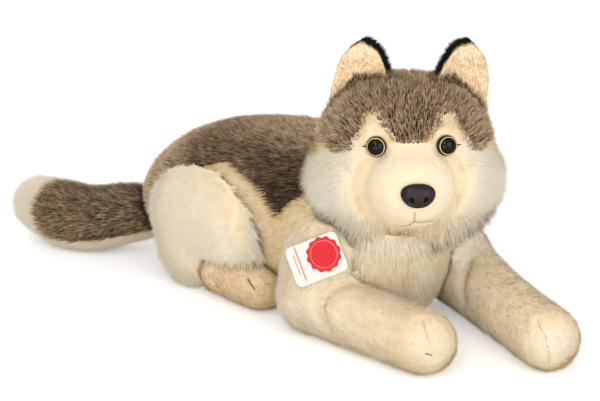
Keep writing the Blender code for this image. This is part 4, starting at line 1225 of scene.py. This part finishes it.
def makeTag():
    card = speckled("tagCard", (0.90, 0.87, 0.83), (0.92, 0.895, 0.86), 400, 0.6, 0.2)
    nodes["hang_tag"].data.materials.clear()
    nodes["hang_tag"].data.materials.append(card)
    red = speckled("sealRed", (0.80, 0.03, 0.10), (0.87, 0.06, 0.14), 500, 0.5)
    paleRed = speckled("sealPale", (0.86, 0.45, 0.36), (0.90, 0.55, 0.45), 500, 0.5)
    grey = speckled("lineGrey", (0.60, 0.56, 0.53), (0.68, 0.64, 0.61), 500, 0.5)
    middle, ring, half = tagLook["seal"], tagLook["ring"], tagLook["ringHalf"]
    scalloped = circle(middle, tagLook["sealRadius"], 144, tagLook["scallop"], tagLook["scallops"])
    gap = [circle(middle, ring + half, 72), circle(middle, ring - half, 72)]
    placePrint(makeSheet("sealEdge", scalloped, gap[:1]), red)
    placePrint(makeSheet("sealRing", gap[0], gap[1:]), paleRed)
    placePrint(makeSheet("sealDisc", gap[1]), red)
    placePrint(makeSheet("tagRedLine", strip(-10.8, -10.2, 12.4, 0.42)), paleRed)
    placePrint(makeSheet("tagGreyLine", strip(-13.2, -5.7, 7.6, 0.25)), grey)


print("tag")
makeTag()


# Washers inside the head

washerPlastic = speckled("washerPlastic", (0.86, 0.86, 0.85), (0.9, 0.9, 0.89), 500, 0.4)
for node in ("eye_right_washer", "eye_left_washer", "nose_washer"):
    nodes[node].data.materials.clear()
    nodes[node].data.materials.append(washerPlastic)


# Floor, light and camera

studio = {"floor": 6.0, "world": 0.68, "glow": 0.32}
lamps = {
    "keyLamp": {"place": (0.3, -1.1, 1.5), "target": (0.05, -0.02, 0.08), "size": 1.1, "power": 4.6},
    "fillLamp": {"place": (1.6, -0.5, 0.7), "target": (0.05, -0.02, 0.08), "size": 1.2, "power": 8.0},
    "rimLamp": {"place": (-1.3, 0.6, 1.0), "target": (0.0, 0.0, 0.08), "size": 1.0, "power": 5.0},
    "sparkLamp": {"place": (0.75, -1.35, 1.15), "target": (0.12, -0.04, 0.12), "size": 0.17, "power": 3.2},
    "lowLamp": {"place": (0.75, -1.25, 0.1), "target": (0.06, -0.03, 0.09), "size": 1.0, "power": 5.6},
}


def whiteToTheCamera(material, made, links, shader):  # the floor shows as white and keeps the shadow
    output = made["Material Output"]
    path = made.new("ShaderNodeLightPath")
    glow = made.new("ShaderNodeEmission")
    glow.inputs["Color"].default_value = (1, 1, 1, 1)
    glow.inputs["Strength"].default_value = studio["glow"]
    add = made.new("ShaderNodeAddShader")
    mix = made.new("ShaderNodeMixShader")
    links.new(shader.outputs[0], add.inputs[0])
    links.new(glow.outputs[0], add.inputs[1])
    links.new(path.outputs["Is Camera Ray"], mix.inputs["Fac"])
    links.new(shader.outputs[0], mix.inputs[1])
    links.new(add.outputs[0], mix.inputs[2])
    links.new(mix.outputs[0], output.inputs["Surface"])


def makeStage():
    bpy.ops.object.select_all(action="DESELECT")
    bpy.ops.mesh.primitive_plane_add(size=studio["floor"], location=(0, 0, 0))
    floor = bpy.context.object
    floor.name = "floor"
    material, made, links = newMaterial("paleFloor")
    shader = made["Principled BSDF"]
    shader.inputs["Base Color"].default_value = (0.9, 0.9, 0.9, 1)
    shader.inputs["Roughness"].default_value = 0.9
    whiteToTheCamera(material, made, links, shader)
    floor.data.materials.append(material)
    world = bpy.data.worlds.new("studio")
    bpy.context.scene.world = world
    world.use_nodes = True
    made, links = world.node_tree.nodes, world.node_tree.links
    output = made["World Output"]
    light = made["Background"]
    light.inputs["Color"].default_value = (1, 1, 1, 1)
    light.inputs["Strength"].default_value = studio["world"]
    seen = made.new("ShaderNodeBackground")
    seen.inputs["Color"].default_value = (1, 1, 1, 1)
    seen.inputs["Strength"].default_value = 1.0
    path = made.new("ShaderNodeLightPath")
    mix = made.new("ShaderNodeMixShader")
    links.new(path.outputs["Is Camera Ray"], mix.inputs["Fac"])
    links.new(light.outputs[0], mix.inputs[1])
    links.new(seen.outputs[0], mix.inputs[2])
    links.new(mix.outputs[0], output.inputs["Surface"])


def addLamp(name, look):
    bpy.ops.object.select_all(action="DESELECT")
    bpy.ops.object.light_add(type="AREA", location=look["place"])
    lamp = bpy.context.object
    lamp.name = name
    lamp.data.shape = "DISK"
    lamp.data.size = look["size"]
    lamp.data.energy = look["power"]
    ahead = Vector(look["target"]) - Vector(look["place"])
    lamp.rotation_euler = ahead.to_track_quat("-Z", "Y").to_euler()


viewOf = {"azimuth": 40.0, "elevation": 20.0, "distance": 1.3, "target": (0.040, -0.040, 0.080),
          "lens": 120.0}


def makeCamera():
    azimuth, elevation = math.radians(viewOf["azimuth"]), math.radians(viewOf["elevation"])
    back = Vector((math.sin(azimuth) * math.cos(elevation), -math.cos(azimuth) * math.cos(elevation),
                   math.sin(elevation)))
    data = bpy.data.cameras.new("camera")
    data.lens = viewOf["lens"]
    data.sensor_width = 36.0
    camera = bpy.data.objects.new("camera", data)
    bpy.context.scene.collection.objects.link(camera)
    camera.location = Vector(viewOf["target"]) + back * viewOf["distance"]
    camera.rotation_euler = back.to_track_quat("Z", "Y").to_euler()
    bpy.context.scene.camera = camera


print("stage, light and camera")
makeStage()
for name, look in lamps.items():
    addLamp(name, look)
makeCamera()
bpy.context.scene.view_settings.view_transform = "Standard"

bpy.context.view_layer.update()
total = 0
for item in bpy.data.objects:
    if item.type == "MESH" and not item.hide_render:
        total += sum(len(face.vertices) - 2 for face in item.data.polygons)
print("triangles in all", total)
